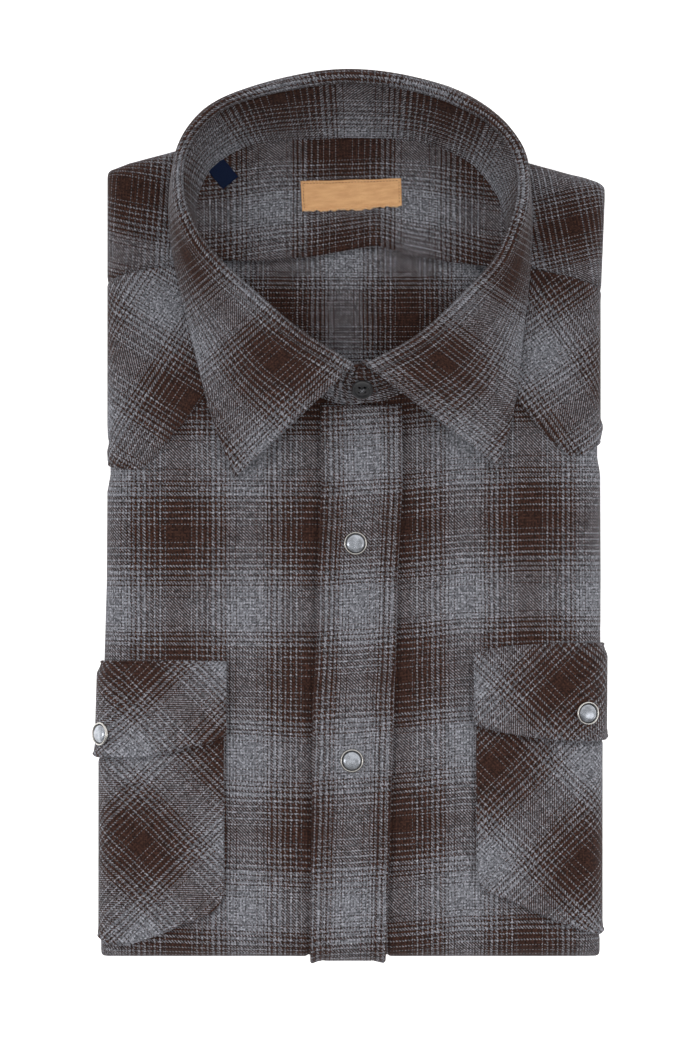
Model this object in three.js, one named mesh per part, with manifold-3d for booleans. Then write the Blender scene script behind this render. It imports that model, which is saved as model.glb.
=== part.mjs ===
// A western snap shirt of brushed flannel, folded for a shelf and lying face up.
// Millimetres, +X to the right, +Y towards the collar, +Z up, origin under the middle of the folded shirt.
// "Right" and "left" in names are the wearer's, so the right front is at -X.

import * as THREE from 'three';
import { mergeVertices } from 'three/addons/utils/BufferGeometryUtils.js';
import Module from 'manifold-3d';

const wasm = await Module();
wasm.setup();

// Cloth: one layer, sewn double layers, and the air left between two pieces.
const CLOTH = 1.2;
const DOUBLE_CLOTH = 1.7;
const PLACKET_CLOTH = 2.0;
const GAP = 0.3;

// Heights above the face of the fronts at which the pieces that are sewn on start.
const ON_FRONT = GAP;
const ON_POCKET = ON_FRONT + CLOTH + GAP;
const ON_PLACKET = ON_FRONT + PLACKET_CLOTH + GAP;

// The rounded rim of the folded shirt.
const RIM = 10;
const UNDER_RIM = 1.5;
const QUARTER_TURN = RIM * Math.PI / 2;
const SIDE_WRAP = QUARTER_TURN * 1.15;
const BOTTOM_WRAP = QUARTER_TURN * 1.62;
const TOP_WRAP = QUARTER_TURN * 1.35;
const WRAP_STEPS = 5;
const BOTTOM = -207.3;
const CORNER_POWER = 10;

// Outline of the folded shirt, seen from above.
const SIDES = [
  { along: -215, right: -116.9, left: 116.2 },
  { along: -115, right: -116.7, left: 116.2 },
  { along: -62, right: -115.4, left: 117.2 },
  { along: -30, right: -114.4, left: 118.0 },
  { along: 100, right: -114.2, left: 118.0 },
  { along: 150, right: -114.2, left: 120.0 },
];
const SHOULDERS = [
  { across: -130, along: 160.5 },
  { across: -114, along: 163.2 },
  { across: -80, along: 172.2 },
  { across: -47, along: 183.0 },
  { across: 47, along: 183.0 },
  { across: 82, along: 166.6 },
  { across: 104, along: 159.6 },
  { across: 120, along: 153.6 },
];
const THICKNESS = [
  { along: -205, height: 19.0 },
  { along: -120, height: 21.0 },
  { along: 20, height: 21.0 },
  { along: 90, height: 19.5 },
  { along: 150, height: 16.5 },
  { along: 190, height: 15.5 },
];

// Long soft folds in the face, each a ridge (or, below zero, a trough) along a line.
const FOLDS = [
  { across: -60, along: -25, turn: 80, length: 75, width: 17, height: 0.9 },
  { across: -92, along: 60, turn: 104, length: 70, width: 18, height: -0.7 },
  { across: 62, along: 5, turn: 97, length: 85, width: 18, height: 0.9 },
  { across: 44, along: -130, turn: 86, length: 70, width: 16, height: -0.7 },
  { across: -38, along: -150, turn: 97, length: 60, width: 16, height: 0.7 },
];

// Seam lines and the outlines of what is sewn on.
const RIGHT_YOKE_EDGE = [
  { across: -150, along: 26.0 }, { across: -113.7, along: 22.6 }, { across: -105, along: 21.4 },
  { across: -97.3, along: 21.4 }, { across: -90.5, along: 28.2 }, { across: -81.3, along: 39.5 },
  { across: -68.1, along: 55.9 }, { across: -47, along: 83.2 }, { across: -36, along: 97 },
];
const LEFT_YOKE_EDGE = [
  { across: 40, along: 100 }, { across: 51.7, along: 86.0 }, { across: 78.5, along: 53.6 },
  { across: 89.3, along: 40.4 }, { across: 100.6, along: 29.1 }, { across: 104.3, along: 27.3 },
  { across: 111.4, along: 28.4 }, { across: 117.5, along: 32.4 }, { across: 150, along: 40 },
];
const SHOULDER_SEAM = [
  { across: -150, along: 101 }, { across: -113.9, along: 110.9 }, { across: -102.2, along: 114.7 },
  { across: -83.7, along: 118.0 }, { across: -62, along: 122.7 }, { across: -52, along: 150 },
  { across: 54, along: 150 }, { across: 64, along: 117.0 }, { across: 84.8, along: 116.1 },
  { across: 103.6, along: 112.3 }, { across: 117.5, along: 107.6 }, { across: 150, along: 97 },
];
const PLACKET_SIDES = [
  { along: -240, right: -19.2, left: 16.0 },
  { along: -207, right: -18.6, left: 16.9 },
  { along: -148, right: -18.0, left: 18.8 },
  { along: -88, right: -17.4, left: 20.7 },
  { along: -60, right: -15.7, left: 21.7 },
  { along: -30, right: -15.3, left: 22.3 },
  { along: 16, right: -13.3, left: 24.7 },
  { along: 60, right: -14.2, left: 24.2 },
];
const RIGHT_POCKET = {
  inner: -59.2, top: -78,
  bottom: [
    { across: -158, along: -188.0 }, { across: -110, along: -202.4 }, { across: -102, along: -201.2 },
    { across: -89.3, along: -197.4 }, { across: -77.5, along: -192.2 }, { across: -67.7, along: -188.5 },
    { across: -61.1, along: -184.2 }, { across: -59.2, along: -178 },
  ],
};
const LEFT_POCKET = {
  inner: 59.2, top: -72,
  bottom: [
    { across: 59.2, along: -168 }, { across: 61.6, along: -175.3 }, { across: 66.7, along: -178.3 },
    { across: 75.2, along: -181.6 }, { across: 93.1, along: -189.4 }, { across: 109, along: -195.3 },
    { across: 117, along: -197.6 }, { across: 158, along: -184 },
  ],
};
const RIGHT_FLAP = {
  inner: -58.0,
  top: [{ across: -160, along: -68.4 }, { across: -58, along: -68.6 }],
  bottom: [
    { across: -160, along: -104 }, { across: -118.4, along: -114.0 }, { across: -101, along: -114.3 },
    { across: -87.4, along: -112.3 }, { across: -77.5, along: -109.5 }, { across: -67.7, along: -107.6 },
    { across: -58, along: -103.6 },
  ],
};
const LEFT_FLAP = {
  inner: 58.2,
  top: [
    { across: 58.2, along: -65 }, { across: 73.3, along: -61.6 }, { across: 93.1, along: -60.2 },
    { across: 160, along: -59.7 },
  ],
  bottom: [
    { across: 58.2, along: -97.6 }, { across: 61, along: -99.6 }, { across: 73.3, along: -102.5 },
    { across: 88.4, along: -104.8 }, { across: 103.2, along: -106.3 }, { across: 118.9, along: -105.8 },
    { across: 160, along: -96 },
  ],
};
const PLACKET_TOP = 51.6;
const FLAP_LAP = 6.5;
const YOKE_LAP = 6;

// Collar stations from the wearer's right front corner round the back to the left one: the roll line, the leaf's outer
// edge, and the stand's seam on the neckline. The seam's height is worked out from the face that it stands on, and
// raised where it crosses a yoke's lapped edge or the stand's other end.
const COLLAR = [
  { roll: [1.9, 70.0, 42.5], edge: [-54.0, 16.9, 24.4], seam: [-2.8, 52.6], raise: 0 },
  { roll: [-23.5, 86.0, 41.5], edge: [-65.8, 48.9, 24.6], seam: [-29.1, 64.4], raise: 0.2 },
  { roll: [-47.5, 106.5, 41.0], edge: [-74.3, 83.2, 23.4], seam: [-55.0, 92.6], raise: 1.6 },
  { roll: [-60.6, 118.4, 42.0], edge: [-79.0, 102.5, 21.8], seam: [-66.0, 112.0], raise: 0.2 },
  { roll: [-71.9, 133.0, 43.0], edge: [-83.2, 124.1, 20.2], seam: [-71.9, 131.0], raise: 0 },
  { roll: [-78.2, 150.4, 43.5], edge: [-84.7, 144.3, 18.9], seam: [-73.0, 146.0], raise: 0 },
  { roll: [-77.3, 168.3, 43.5], edge: [-82.5, 165.0, 17.0], seam: [-67.7, 161.0], raise: 0 },
  { roll: [-69.6, 181.2, 43.0], edge: [-76.6, 181.5, 9.0], seam: [-59.2, 168.7], raise: 0 },
  { roll: [-55.9, 191.8, 42.5], edge: [-63.4, 195.3, 5.0], seam: [-46.1, 175.0], raise: 0 },
  { roll: [-17.4, 202.0, 42.0], edge: [-20.2, 208.2, 2.5], seam: [-15.0, 178.0], raise: 0 },
  { roll: [4.7, 203.2, 42.0], edge: [4.7, 209.3, 2.2], seam: [4.7, 178.0], raise: 0 },
  { roll: [31.3, 199.3, 42.0], edge: [35.2, 205.8, 2.5], seam: [29.1, 177.0], raise: 0 },
  { roll: [49.8, 192.0, 42.5], edge: [55.5, 198.5, 4.5], seam: [45.1, 172.5], raise: 0 },
  { roll: [65.3, 183.2, 43.0], edge: [72.8, 184.6, 8.5], seam: [57.8, 165.4], raise: 0 },
  { roll: [75.7, 170.6, 43.5], edge: [81.6, 170.2, 14.0], seam: [66.7, 155.6], raise: 0 },
  { roll: [79.2, 153.7, 43.5], edge: [84.6, 149.9, 18.6], seam: [72.4, 144.3], raise: 0 },
  { roll: [75.2, 135.4, 43.0], edge: [85.0, 129.7, 20.0], seam: [74.3, 130.2], raise: 0 },
  { roll: [67.2, 118.4, 42.0], edge: [83.7, 107.6, 21.4], seam: [70.0, 112.3], raise: 0.4 },
  { roll: [56.2, 106.2, 41.5], edge: [81.8, 89.3, 22.9], seam: [60.2, 95.4], raise: 1.7 },
  { roll: [32.4, 84.1, 41.0], edge: [77.1, 50.3, 24.4], seam: [39.5, 67.2], raise: 0.8 },
  { roll: [7.5, 70.0, 41.5], edge: [70.4, 22.3, 24.4], seam: [11.3, 53.6], raise: 2.7 },
];
// The stand's own ends at the front: the wearer's right end lies under, and the left end over it, to the placket's edge.
const UNDER_END = { roll: [9.0, 73.0, 39.0], seam: [10.5, 54.6], raise: 0 };
const OVER_END = { roll: [-9.5, 71.0, 40.0], seam: [-12.6, 57.0], raise: 3.0 };
const STAND_CLOTH = 2.0;
const LEAF_CLOTH = 1.8;
const SEAM_CLEARANCE = 1.25;
const STAND_BELOW_ROLL = 5;
const ROLL_RADIUS = 2.6;
const LEAF_BELLY = 2.2;
const STEPS_PER_STATION = 2;
const LEAF_STEPS = (COLLAR.length - 1) * STEPS_PER_STATION;
const STAND_STEPS = LEAF_STEPS + 2 * STEPS_PER_STATION;

// The neck opening, and what lies on its floor.
const NECK_RIM = 1.6;
const NECK_FLOOR = 7.6;
const NECK_MIDDLE = 118;
const NECK_HALF_WIDTH = 72;
const NECK_HALF_LENGTH = 60;
const YOKE_RISE = 4.6;
const INSIDE_YOKE_EDGE = [
  { across: -75, along: 119.8 }, { across: -60.6, along: 119.8 }, { across: -38.5, along: 119.8 },
  { across: -17.4, along: 121.7 }, { across: -5.2, along: 124.1 }, { across: 13.2, along: 127.4 },
  { across: 26.3, along: 122.7 }, { across: 49.3, along: 118.9 }, { across: 75, along: 116.0 },
];
const LABEL = { width: 47.5, height: 14, cloth: 0.8, across: 0.3, along: 151.2, turn: 1.5 };
const PATCH_GAP = 0.4;
const SIZE_TAB = { width: 9.4, height: 11, cloth: 0.7, across: -59.7, along: 160.6, turn: 40 };

// Snaps and the button. The button's place is a share of the stand's length and of its height.
const SNAP = { ring: 5.5, ringInner: 4.3, ringHeight: 1.5, cap: 4.0, capHeight: 2.0, sides: 18 };
const BUTTON_PLACE = { share: 0.963, up: 0.42 };
const BUTTON_SEAT = 0.2;
const BUTTON = { radius: 5.0, height: 2.2, dish: 3.4, floor: 1.3, hole: 0.8, holeSpacing: 1.25, sides: 20 };

const material = (color, roughness, metalness = 0) =>
  new THREE.MeshStandardMaterial({ color, roughness, metalness });
const FLANNEL = material(0x5f5552, 0.95);
const FLANNEL_LIGHT = material(0x77787c, 0.95);
const FLANNEL_DARK = material(0x3d2c27, 0.95);
const SILVER = material(0xc9c9cb, 0.25, 1);
const PEARL = material(0x8d8d93, 0.3);
const BLACK_PLASTIC = material(0x2a2829, 0.4);
const LABEL_CLOTH = material(0xbd8c5e, 0.8);
const NAVY_CLOTH = material(0x0e1626, 0.8);

const shirt = new THREE.Group();

function add(name, geometry, look) {
  const mesh = new THREE.Mesh(geometry, look);
  mesh.name = name;
  shirt.add(mesh);
  return mesh;
}

// The value of a table's column at a place, on straight lines between its rows.
function lookUp(table, key, at, column) {
  const last = table.length - 1;
  const found = table.findIndex((row) => row[key] >= at);
  const next = found < 0 ? last : Math.max(1, found);
  const [low, high] = [table[next - 1], table[next]];
  const share = THREE.MathUtils.clamp((at - low[key]) / (high[key] - low[key]), 0, 1);
  return THREE.MathUtils.lerp(low[column], high[column], share);
}

// Where the shirt's flat top ends at the shoulders.
const shoulderAt = (x) => lookUp(SHOULDERS, 'across', x, 'along') - RIM;

function foldsAt(x, y) {
  let height = 0;
  for (const fold of FOLDS) {
    const turn = THREE.MathUtils.degToRad(fold.turn);
    const [dx, dy] = [x - fold.across, y - fold.along];
    const lengthwise = (dx * Math.cos(turn) + dy * Math.sin(turn)) / fold.length;
    const sideways = (-dx * Math.sin(turn) + dy * Math.cos(turn)) / fold.width;
    height += fold.height * Math.exp(-2 * (lengthwise ** 2 + sideways ** 2));
  }
  return height;
}

// A point of the shirt's face. The cloth is measured along its surface, so places past the flat top run round the rim.
function place(across, along, lift) {
  const side = across < 0 ? 'right' : 'left';
  const level = THREE.MathUtils.clamp(along, -200, 150);
  const flatX = Math.abs(lookUp(SIDES, 'along', level, side)) - RIM;
  const flatTop = shoulderAt(across);
  const overX = Math.sign(across) * Math.max(0, Math.abs(across) - flatX);
  const overY = Math.max(0, along - flatTop) - Math.max(0, BOTTOM + RIM - along);
  const over = Math.max(Math.abs(overX), Math.abs(overY));
  const x = Math.sign(across) * Math.min(Math.abs(across), flatX);
  const y = Math.min(Math.max(along, BOTTOM + RIM), flatTop);
  const height = lookUp(THICKNESS, 'along', y, 'height');
  const turn = over / QUARTER_TURN * Math.PI / 2;
  const middle = (height + UNDER_RIM) / 2;
  const rimHeight = (height - UNDER_RIM) / 2 + lift;
  const powers = Math.abs(overX) ** CORNER_POWER + Math.abs(overY) ** CORNER_POWER;
  const diagonal = powers ** (1 / CORNER_POWER) || 1;
  const reach = (RIM + lift) * Math.sin(turn) / diagonal;
  const z = middle + rimHeight * Math.cos(turn) + foldsAt(x, y) * Math.max(0, Math.cos(turn));
  return new THREE.Vector3(x + reach * overX, y + reach * overY, z);
}

// A closed wall between two grids of points of the same size, under and over.
function wallBetween(under, over) {
  const [rows, columns] = [over.length, over[0].length];
  const points = [...under.flat(), ...over.flat()];
  const faces = [];
  const quad = (a, b, c, d) => faces.push(a, b, c, a, c, d);
  const low = (i, j) => i * columns + j;
  const high = (i, j) => rows * columns + low(i, j);
  for (let i = 0; i < rows - 1; i++) {
    for (let j = 0; j < columns - 1; j++) {
      quad(high(i, j), high(i, j + 1), high(i + 1, j + 1), high(i + 1, j));
      quad(low(i, j), low(i + 1, j), low(i + 1, j + 1), low(i, j + 1));
    }
    quad(low(i, 0), high(i, 0), high(i + 1, 0), low(i + 1, 0));
    quad(low(i + 1, columns - 1), high(i + 1, columns - 1), high(i, columns - 1), low(i, columns - 1));
  }
  for (let j = 0; j < columns - 1; j++) {
    quad(low(0, j + 1), high(0, j + 1), high(0, j), low(0, j));
    quad(low(rows - 1, j), high(rows - 1, j), high(rows - 1, j + 1), low(rows - 1, j + 1));
  }
  const geometry = new THREE.BufferGeometry().setFromPoints(points);
  geometry.setIndex(faces);
  return geometry;
}

const spread = (from, to, steps) => Array.from({ length: steps + 1 }, (_, i) => from + (to - from) * i / steps);

// Every layer shares these columns across the shirt, so that layers that lie on each other bend at the same places.
const COLUMNS = [
  ...spread(-104 - SIDE_WRAP, -104, WRAP_STEPS), ...spread(-94, -14, 8), ...spread(-4, 96, 10),
  ...spread(107, 107 + SIDE_WRAP, WRAP_STEPS),
];
const columnsBetween = (from, to) => [from, ...COLUMNS.filter((x) => x > from + 1.5 && x < to - 1.5), to];
const FIRST_COLUMN = COLUMNS[0];
const LAST_COLUMN = COLUMNS[COLUMNS.length - 1];

// Where a row lies between a layer's lower and upper edge.
const fromLow = (distance) => (low) => low + distance;
const fromHigh = (distance) => (low, high) => high - distance;
const share = (part) => (low, high) => low + (high - low) * part;
const bottomRows = spread(0, BOTTOM_WRAP, WRAP_STEPS).map(fromLow);
const topRows = spread(TOP_WRAP, 0, WRAP_STEPS).map(fromHigh);
const shares = (from, to, steps) => spread(from, to, steps).map(share);

// A layer of cloth on the shirt's face. Its columns run from its lower edge to its upper edge, and liftAt gives the
// height of its underside at a distance from each of the two edges.
function layer({ columns, lower, upper, rows, cloth, liftAt }) {
  const grid = (extra) => rows.map((row) => columns.map((across) => {
    const [low, high] = [lower(across), upper(across)];
    const along = row(low, high);
    return place(across, along, liftAt(along - low, high - along) + extra);
  }));
  return wallBetween(grid(0), grid(cloth));
}

function toSolid(geometry) {
  geometry.deleteAttribute('normal');
  geometry.deleteAttribute('uv');
  const merged = mergeVertices(geometry, 1e-4);
  return new wasm.Manifold(new wasm.Mesh({
    numProp: 3,
    vertProperties: new Float32Array(merged.attributes.position.array),
    triVerts: new Uint32Array(merged.index.array),
  }));
}

function toGeometry(solid) {
  const mesh = solid.getMesh();
  const geometry = new THREE.BufferGeometry();
  geometry.setAttribute('position', new THREE.BufferAttribute(new Float32Array(mesh.vertProperties), 3));
  geometry.setIndex(new THREE.BufferAttribute(new Uint32Array(mesh.triVerts), 1));
  return geometry;
}

// Collar sections: the table's rows joined by smooth curves.
function collarCurve(rows, column) {
  return new THREE.CatmullRomCurve3(rows.map((row) => {
    const [x, y, z] = row[column];
    return new THREE.Vector3(x, y, z ?? place(x, y, 0).z + SEAM_CLEARANCE + row.raise);
  }), false, 'centripetal');
}
const rollCurve = collarCurve(COLLAR, 'roll');
const edgeCurve = collarCurve(COLLAR, 'edge');
const seamCurve = collarCurve(COLLAR, 'seam');
const standRows = [UNDER_END, ...COLLAR, OVER_END];
const standTopCurve = collarCurve(standRows, 'roll');
const standSeamCurve = collarCurve(standRows, 'seam');

// A wall of even thickness about a grid of centre points.
function wallAbout(centres, cloth) {
  const [rows, columns] = [centres.length, centres[0].length];
  const normals = centres.map((row, i) => row.map((point, j) => {
    const lengthwise = centres[i][Math.min(j + 1, columns - 1)].clone().sub(centres[i][Math.max(j - 1, 0)]);
    const sideways = centres[Math.min(i + 1, rows - 1)][j].clone().sub(centres[Math.max(i - 1, 0)][j]);
    return lengthwise.cross(sideways).normalize().multiplyScalar(cloth / 2);
  }));
  const shifted = (sign) => centres.map((row, i) => row.map((point, j) =>
    point.clone().addScaledVector(normals[i][j], sign)));
  return wallBetween(shifted(-1), shifted(1));
}

// The neck opening's outline, a little inside the stand's seam.
function neckOutline(inset) {
  const seam = seamCurve.getPoints(LEAF_STEPS).map((point) => new THREE.Vector2(point.x, point.y));
  const middle = new THREE.Vector2(0, NECK_MIDDLE);
  return seam.map((point) => {
    const inward = middle.clone().sub(point).normalize();
    return point.clone().addScaledVector(inward, inset);
  });
}

function prism(outline, from, to) {
  const geometry = new THREE.ExtrudeGeometry(new THREE.Shape(outline), { depth: to - from, bevelEnabled: false });
  geometry.translate(0, 0, from);
  return toSolid(geometry);
}
const neckWell = prism(neckOutline(NECK_RIM), NECK_FLOOR, 60);

// The hidden layers: the shirt's rounded form under the outer cloth, and below the rim the folded edges of the sleeves
// and the tail, one over the other.
const FLAT_STEPS = 14;
const END_INSET = 0.9;
const FOLDED_EDGES = [
  { height: 0.93, reach: 0.86 },
  { height: 0.80, reach: 1.06 },
  { height: 0.62, reach: 1.10 },
  { height: 0.50, reach: 0.84 },
  { height: 0.38, reach: 1.04 },
  { height: 0.16, reach: 1.06 },
  { height: 0.03, reach: 0.88 },
];
function foldedLayers() {
  const under = -CLOTH - GAP;
  const top = COLUMNS.map((x) => {
    const [low, high] = [BOTTOM + RIM - BOTTOM_WRAP, shoulderAt(x) + TOP_WRAP];
    const middle = spread(BOTTOM + RIM, shoulderAt(x), FLAT_STEPS).slice(1, -1).map((y) => () => y);
    return [...bottomRows, ...middle, ...topRows].map((row) => place(x, row(low, high), under));
  });
  const [columns, rows] = [top.length, top[0].length];
  const border = [];
  for (let i = 0; i < columns - 1; i++) border.push([i, 0]);
  for (let j = 0; j < rows - 1; j++) border.push([columns - 1, j]);
  for (let i = columns - 1; i > 0; i--) border.push([i, rows - 1]);
  for (let j = rows - 1; j > 0; j--) border.push([0, j]);

  const points = top.flat();
  const faces = [];
  const at = (i, j) => i * rows + j;
  for (let i = 0; i < columns - 1; i++) {
    for (let j = 0; j < rows - 1; j++) {
      faces.push(at(i, j), at(i + 1, j), at(i + 1, j + 1), at(i, j), at(i + 1, j + 1), at(i, j + 1));
    }
  }
  let ring = border.map(([i, j]) => at(i, j));
  const nextRing = (height, sideInset) => {
    const start = points.length;
    const endInset = END_INSET + RIM * 0.3 * (1 - height);
    for (const [i, j] of border) {
      const point = top[i][j];
      const layered = THREE.MathUtils.smoothstep(point.z, 4.5, 7);
      const inset = THREE.MathUtils.lerp(endInset, sideInset, layered);
      const onSide = i === 0 || i === columns - 1;
      const onEnd = j === 0 || j === rows - 1;
      points.push(new THREE.Vector3(
        point.x - Math.sign(point.x) * inset * (onSide ? 1 : Math.abs(point.x) / 125),
        point.y - Math.sign(point.y) * endInset * (onEnd ? 1 : Math.abs(point.y) / 200),
        height * point.z,
      ));
    }
    const next = border.map((_, k) => start + k);
    next.forEach((point, k) => {
      const after = (k + 1) % border.length;
      faces.push(ring[k], point, next[after], ring[k], next[after], ring[after]);
    });
    ring = next;
  };
  for (const { height, reach } of FOLDED_EDGES) nextRing(height, RIM * (1 - reach));
  nextRing(0, RIM * 0.35);
  const centre = points.length;
  points.push(new THREE.Vector3(0, -20, 0));
  ring.forEach((point, k) => faces.push(point, centre, ring[(k + 1) % ring.length]));
  const geometry = new THREE.BufferGeometry().setFromPoints(points);
  geometry.setIndex(faces);
  return toGeometry(toSolid(geometry).subtract(neckWell));
}
add('folded_layers', foldedLayers(), FLANNEL);

// The neck opening's floor: the back's inner side, and over it the yoke's inner layer with its wavy lower edge.
const neckFloorShape = prism(neckOutline(NECK_RIM + GAP), 0, 60);
const flatLayer = (columns, lower, upper, rows, heightAt, cloth) => {
  const grid = (extra) => rows.map((row) => columns.map((x) => {
    const y = THREE.MathUtils.lerp(lower(x), upper(x), row);
    return new THREE.Vector3(x, y, heightAt(x, y) + extra);
  }));
  return wallBetween(grid(0), grid(cloth));
};
const backLevel = NECK_FLOOR + GAP;
const insideBack = flatLayer(spread(-80, 80, 8), () => 45, (x) => lookUp(INSIDE_YOKE_EDGE, 'across', x, 'along') + 8,
  spread(0, 1, 4), () => backLevel, CLOTH);
add('inside_back', toGeometry(toSolid(insideBack).intersect(neckFloorShape)), FLANNEL);

const yokeLevel = backLevel + CLOTH + GAP;
function yokeRise(x, y) {
  const nearness = Math.hypot(x / NECK_HALF_WIDTH, (y - NECK_MIDDLE) / NECK_HALF_LENGTH);
  return YOKE_RISE * THREE.MathUtils.smoothstep(nearness, 0.7, 1.02);
}
const insideYoke = flatLayer(spread(-77, 77, 28), (x) => lookUp(INSIDE_YOKE_EDGE, 'across', x, 'along'), () => 178,
  spread(0, 1, 10), (x, y) => yokeLevel + yokeRise(x, y), CLOTH);
add('inside_back_yoke', toGeometry(toSolid(insideYoke).intersect(neckFloorShape)), FLANNEL_DARK);

function patch(name, { width, height, cloth, across, along, turn }, look) {
  const angle = THREE.MathUtils.degToRad(turn);
  const grid = (extra) => spread(-0.5, 0.5, 4).map((v) => spread(-0.5, 0.5, 2).map((u) => {
    const x = across + u * width * Math.cos(angle) - v * height * Math.sin(angle);
    const y = along + u * width * Math.sin(angle) + v * height * Math.cos(angle);
    return new THREE.Vector3(x, y, yokeLevel + yokeRise(x, y) + CLOTH + PATCH_GAP + extra);
  }));
  add(name, toGeometry(toSolid(wallBetween(grid(0), grid(cloth))).intersect(neckFloorShape)), look);
}
patch('neck_label', LABEL, LABEL_CLOTH);
patch('size_tab', SIZE_TAB, NAVY_CLOTH);

// The fronts. The right front runs on under the placket, and both run a little way under their yokes.
const inner = () => -CLOTH;
function front(name, columns, yokeEdge) {
  const geometry = layer({
    columns,
    lower: () => BOTTOM + RIM - BOTTOM_WRAP,
    upper: (x) => Math.min(lookUp(yokeEdge, 'across', x, 'along') + YOKE_LAP, 90),
    rows: [...bottomRows, ...shares(0.14, 1, 12)],
    cloth: CLOTH,
    liftAt: inner,
  });
  add(name, toGeometry(toSolid(geometry).subtract(neckWell)), FLANNEL);
}
front('front_right', columnsBetween(FIRST_COLUMN, -4), RIGHT_YOKE_EDGE);
front('front_left', columnsBetween(-4 + GAP, LAST_COLUMN), LEFT_YOKE_EDGE);

// The yokes lie on the fronts along their pointed edges, and sink to the fronts' own level above them.
const yokeLift = (fromLow) => THREE.MathUtils.lerp(ON_FRONT, -CLOTH, THREE.MathUtils.smoothstep(fromLow, 7, 12));
const yokeRows = [...[0, 4, 7, 9.5, 12].map(fromLow), ...shares(0.4, 1, 4)];
function frontYoke(name, columns, edge) {
  const seam = (x) => lookUp(SHOULDER_SEAM, 'across', x, 'along') - GAP / 2;
  const geometry = layer({
    columns,
    lower: (x) => lookUp(edge, 'across', x, 'along'),
    upper: (x) => Math.max(seam(x), lookUp(edge, 'across', x, 'along') + 32),
    rows: yokeRows,
    cloth: CLOTH,
    liftAt: yokeLift,
  });
  add(name, toGeometry(toSolid(geometry).subtract(neckWell)), FLANNEL_DARK);
}
frontYoke('front_yoke_right', columnsBetween(FIRST_COLUMN, -50), RIGHT_YOKE_EDGE);
frontYoke('front_yoke_left', columnsBetween(54, LAST_COLUMN), LEFT_YOKE_EDGE);

const backYoke = layer({
  columns: COLUMNS,
  lower: (x) => lookUp(SHOULDER_SEAM, 'across', x, 'along') + GAP / 2,
  upper: (x) => shoulderAt(x) + TOP_WRAP,
  rows: [share(0), (low, high) => (low + high - TOP_WRAP) / 2, ...topRows],
  cloth: CLOTH,
  liftAt: inner,
});
add('back_yoke', toGeometry(toSolid(backYoke).subtract(neckWell)), FLANNEL_LIGHT);

// The placket, on both fronts.
function placket() {
  const low = BOTTOM + RIM - BOTTOM_WRAP;
  const grid = (lift) => [...bottomRows, ...shares(0.14, 1, 16)].map((row) => {
    const along = row(low, PLACKET_TOP);
    const right = lookUp(PLACKET_SIDES, 'along', along, 'right');
    const left = lookUp(PLACKET_SIDES, 'along', along, 'left');
    return spread(right, left, 4).map((x) => place(x, along, lift));
  });
  return wallBetween(grid(ON_FRONT), grid(ON_FRONT + PLACKET_CLOTH));
}
add('placket', placket(), FLANNEL_LIGHT);

// Pockets and their flaps.
function pocket(name, shape, columns) {
  const geometry = layer({
    columns,
    lower: (x) => lookUp(shape.bottom, 'across', x, 'along'),
    upper: () => shape.top,
    rows: [fromLow(0), fromLow(3), fromLow(6), ...shares(0.1, 1, 7)],
    cloth: CLOTH,
    liftAt: () => ON_FRONT,
  });
  add(name, geometry, FLANNEL_DARK);
}
pocket('pocket_right', RIGHT_POCKET, columnsBetween(FIRST_COLUMN, RIGHT_POCKET.inner));
pocket('pocket_left', LEFT_POCKET, columnsBetween(LEFT_POCKET.inner, LAST_COLUMN));

function flap(name, shape, columns) {
  const geometry = layer({
    columns,
    lower: (x) => lookUp(shape.bottom, 'across', x, 'along'),
    upper: (x) => lookUp(shape.top, 'across', x, 'along'),
    rows: [...shares(0, 0.75, 3), ...[FLAP_LAP, 4.5, 3, 0].map(fromHigh)],
    cloth: DOUBLE_CLOTH,
    liftAt: (_, fromTop) => THREE.MathUtils.lerp(ON_FRONT, ON_POCKET,
      THREE.MathUtils.smoothstep(fromTop, 2, FLAP_LAP)),
  });
  add(name, geometry, FLANNEL_LIGHT);
}
flap('flap_right', RIGHT_FLAP, columnsBetween(FIRST_COLUMN, RIGHT_FLAP.inner));
flap('flap_left', LEFT_FLAP, columnsBetween(LEFT_FLAP.inner, LAST_COLUMN));

// The collar stand, with the wearer's left end over the right one at the front.
function standAt(share, up) {
  const top = standTopCurve.getPoint(share).add(new THREE.Vector3(0, 0, -STAND_BELOW_ROLL - STAND_CLOTH / 2));
  return standSeamCurve.getPoint(share).lerp(top, up);
}
const standCentres = spread(0, 1, 3).map((up) => spread(0, 1, STAND_STEPS).map((share) => standAt(share, up)));
add('collar_stand', wallAbout(standCentres, STAND_CLOTH), FLANNEL_LIGHT);

// The collar leaf: up from the stand, round the roll and down to its outer edge, a little full on the way.
function leaf() {
  const rollTurn = [180, 120, 60, 10].map(THREE.MathUtils.degToRad);
  const sections = spread(0, 1, LEAF_STEPS).map((share) => {
    const roll = rollCurve.getPoint(share);
    const edge = edgeCurve.getPoint(share);
    const out = new THREE.Vector3(edge.x - roll.x, edge.y - roll.y, 0).normalize();
    const hub = roll.clone().addScaledVector(out, ROLL_RADIUS).add(new THREE.Vector3(0, 0, -ROLL_RADIUS));
    const bend = rollTurn.map((turn) => hub.clone()
      .addScaledVector(out, ROLL_RADIUS * Math.cos(turn))
      .add(new THREE.Vector3(0, 0, ROLL_RADIUS * Math.sin(turn))));
    const foot = roll.clone().add(new THREE.Vector3(0, 0, -STAND_BELOW_ROLL + GAP + LEAF_CLOTH / 2));
    const fall = [0.25, 0.5, 0.75, 1].map((step) => bend[3].clone().lerp(edge, step)
      .add(new THREE.Vector3(0, 0, LEAF_BELLY * Math.sin(Math.PI * step))));
    return [foot, ...bend, ...fall];
  });
  const rows = sections[0].map((_, row) => sections.map((section) => section[row]));
  return wallAbout(rows, LEAF_CLOTH);
}
add('collar_leaf', leaf(), FLANNEL);

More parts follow.
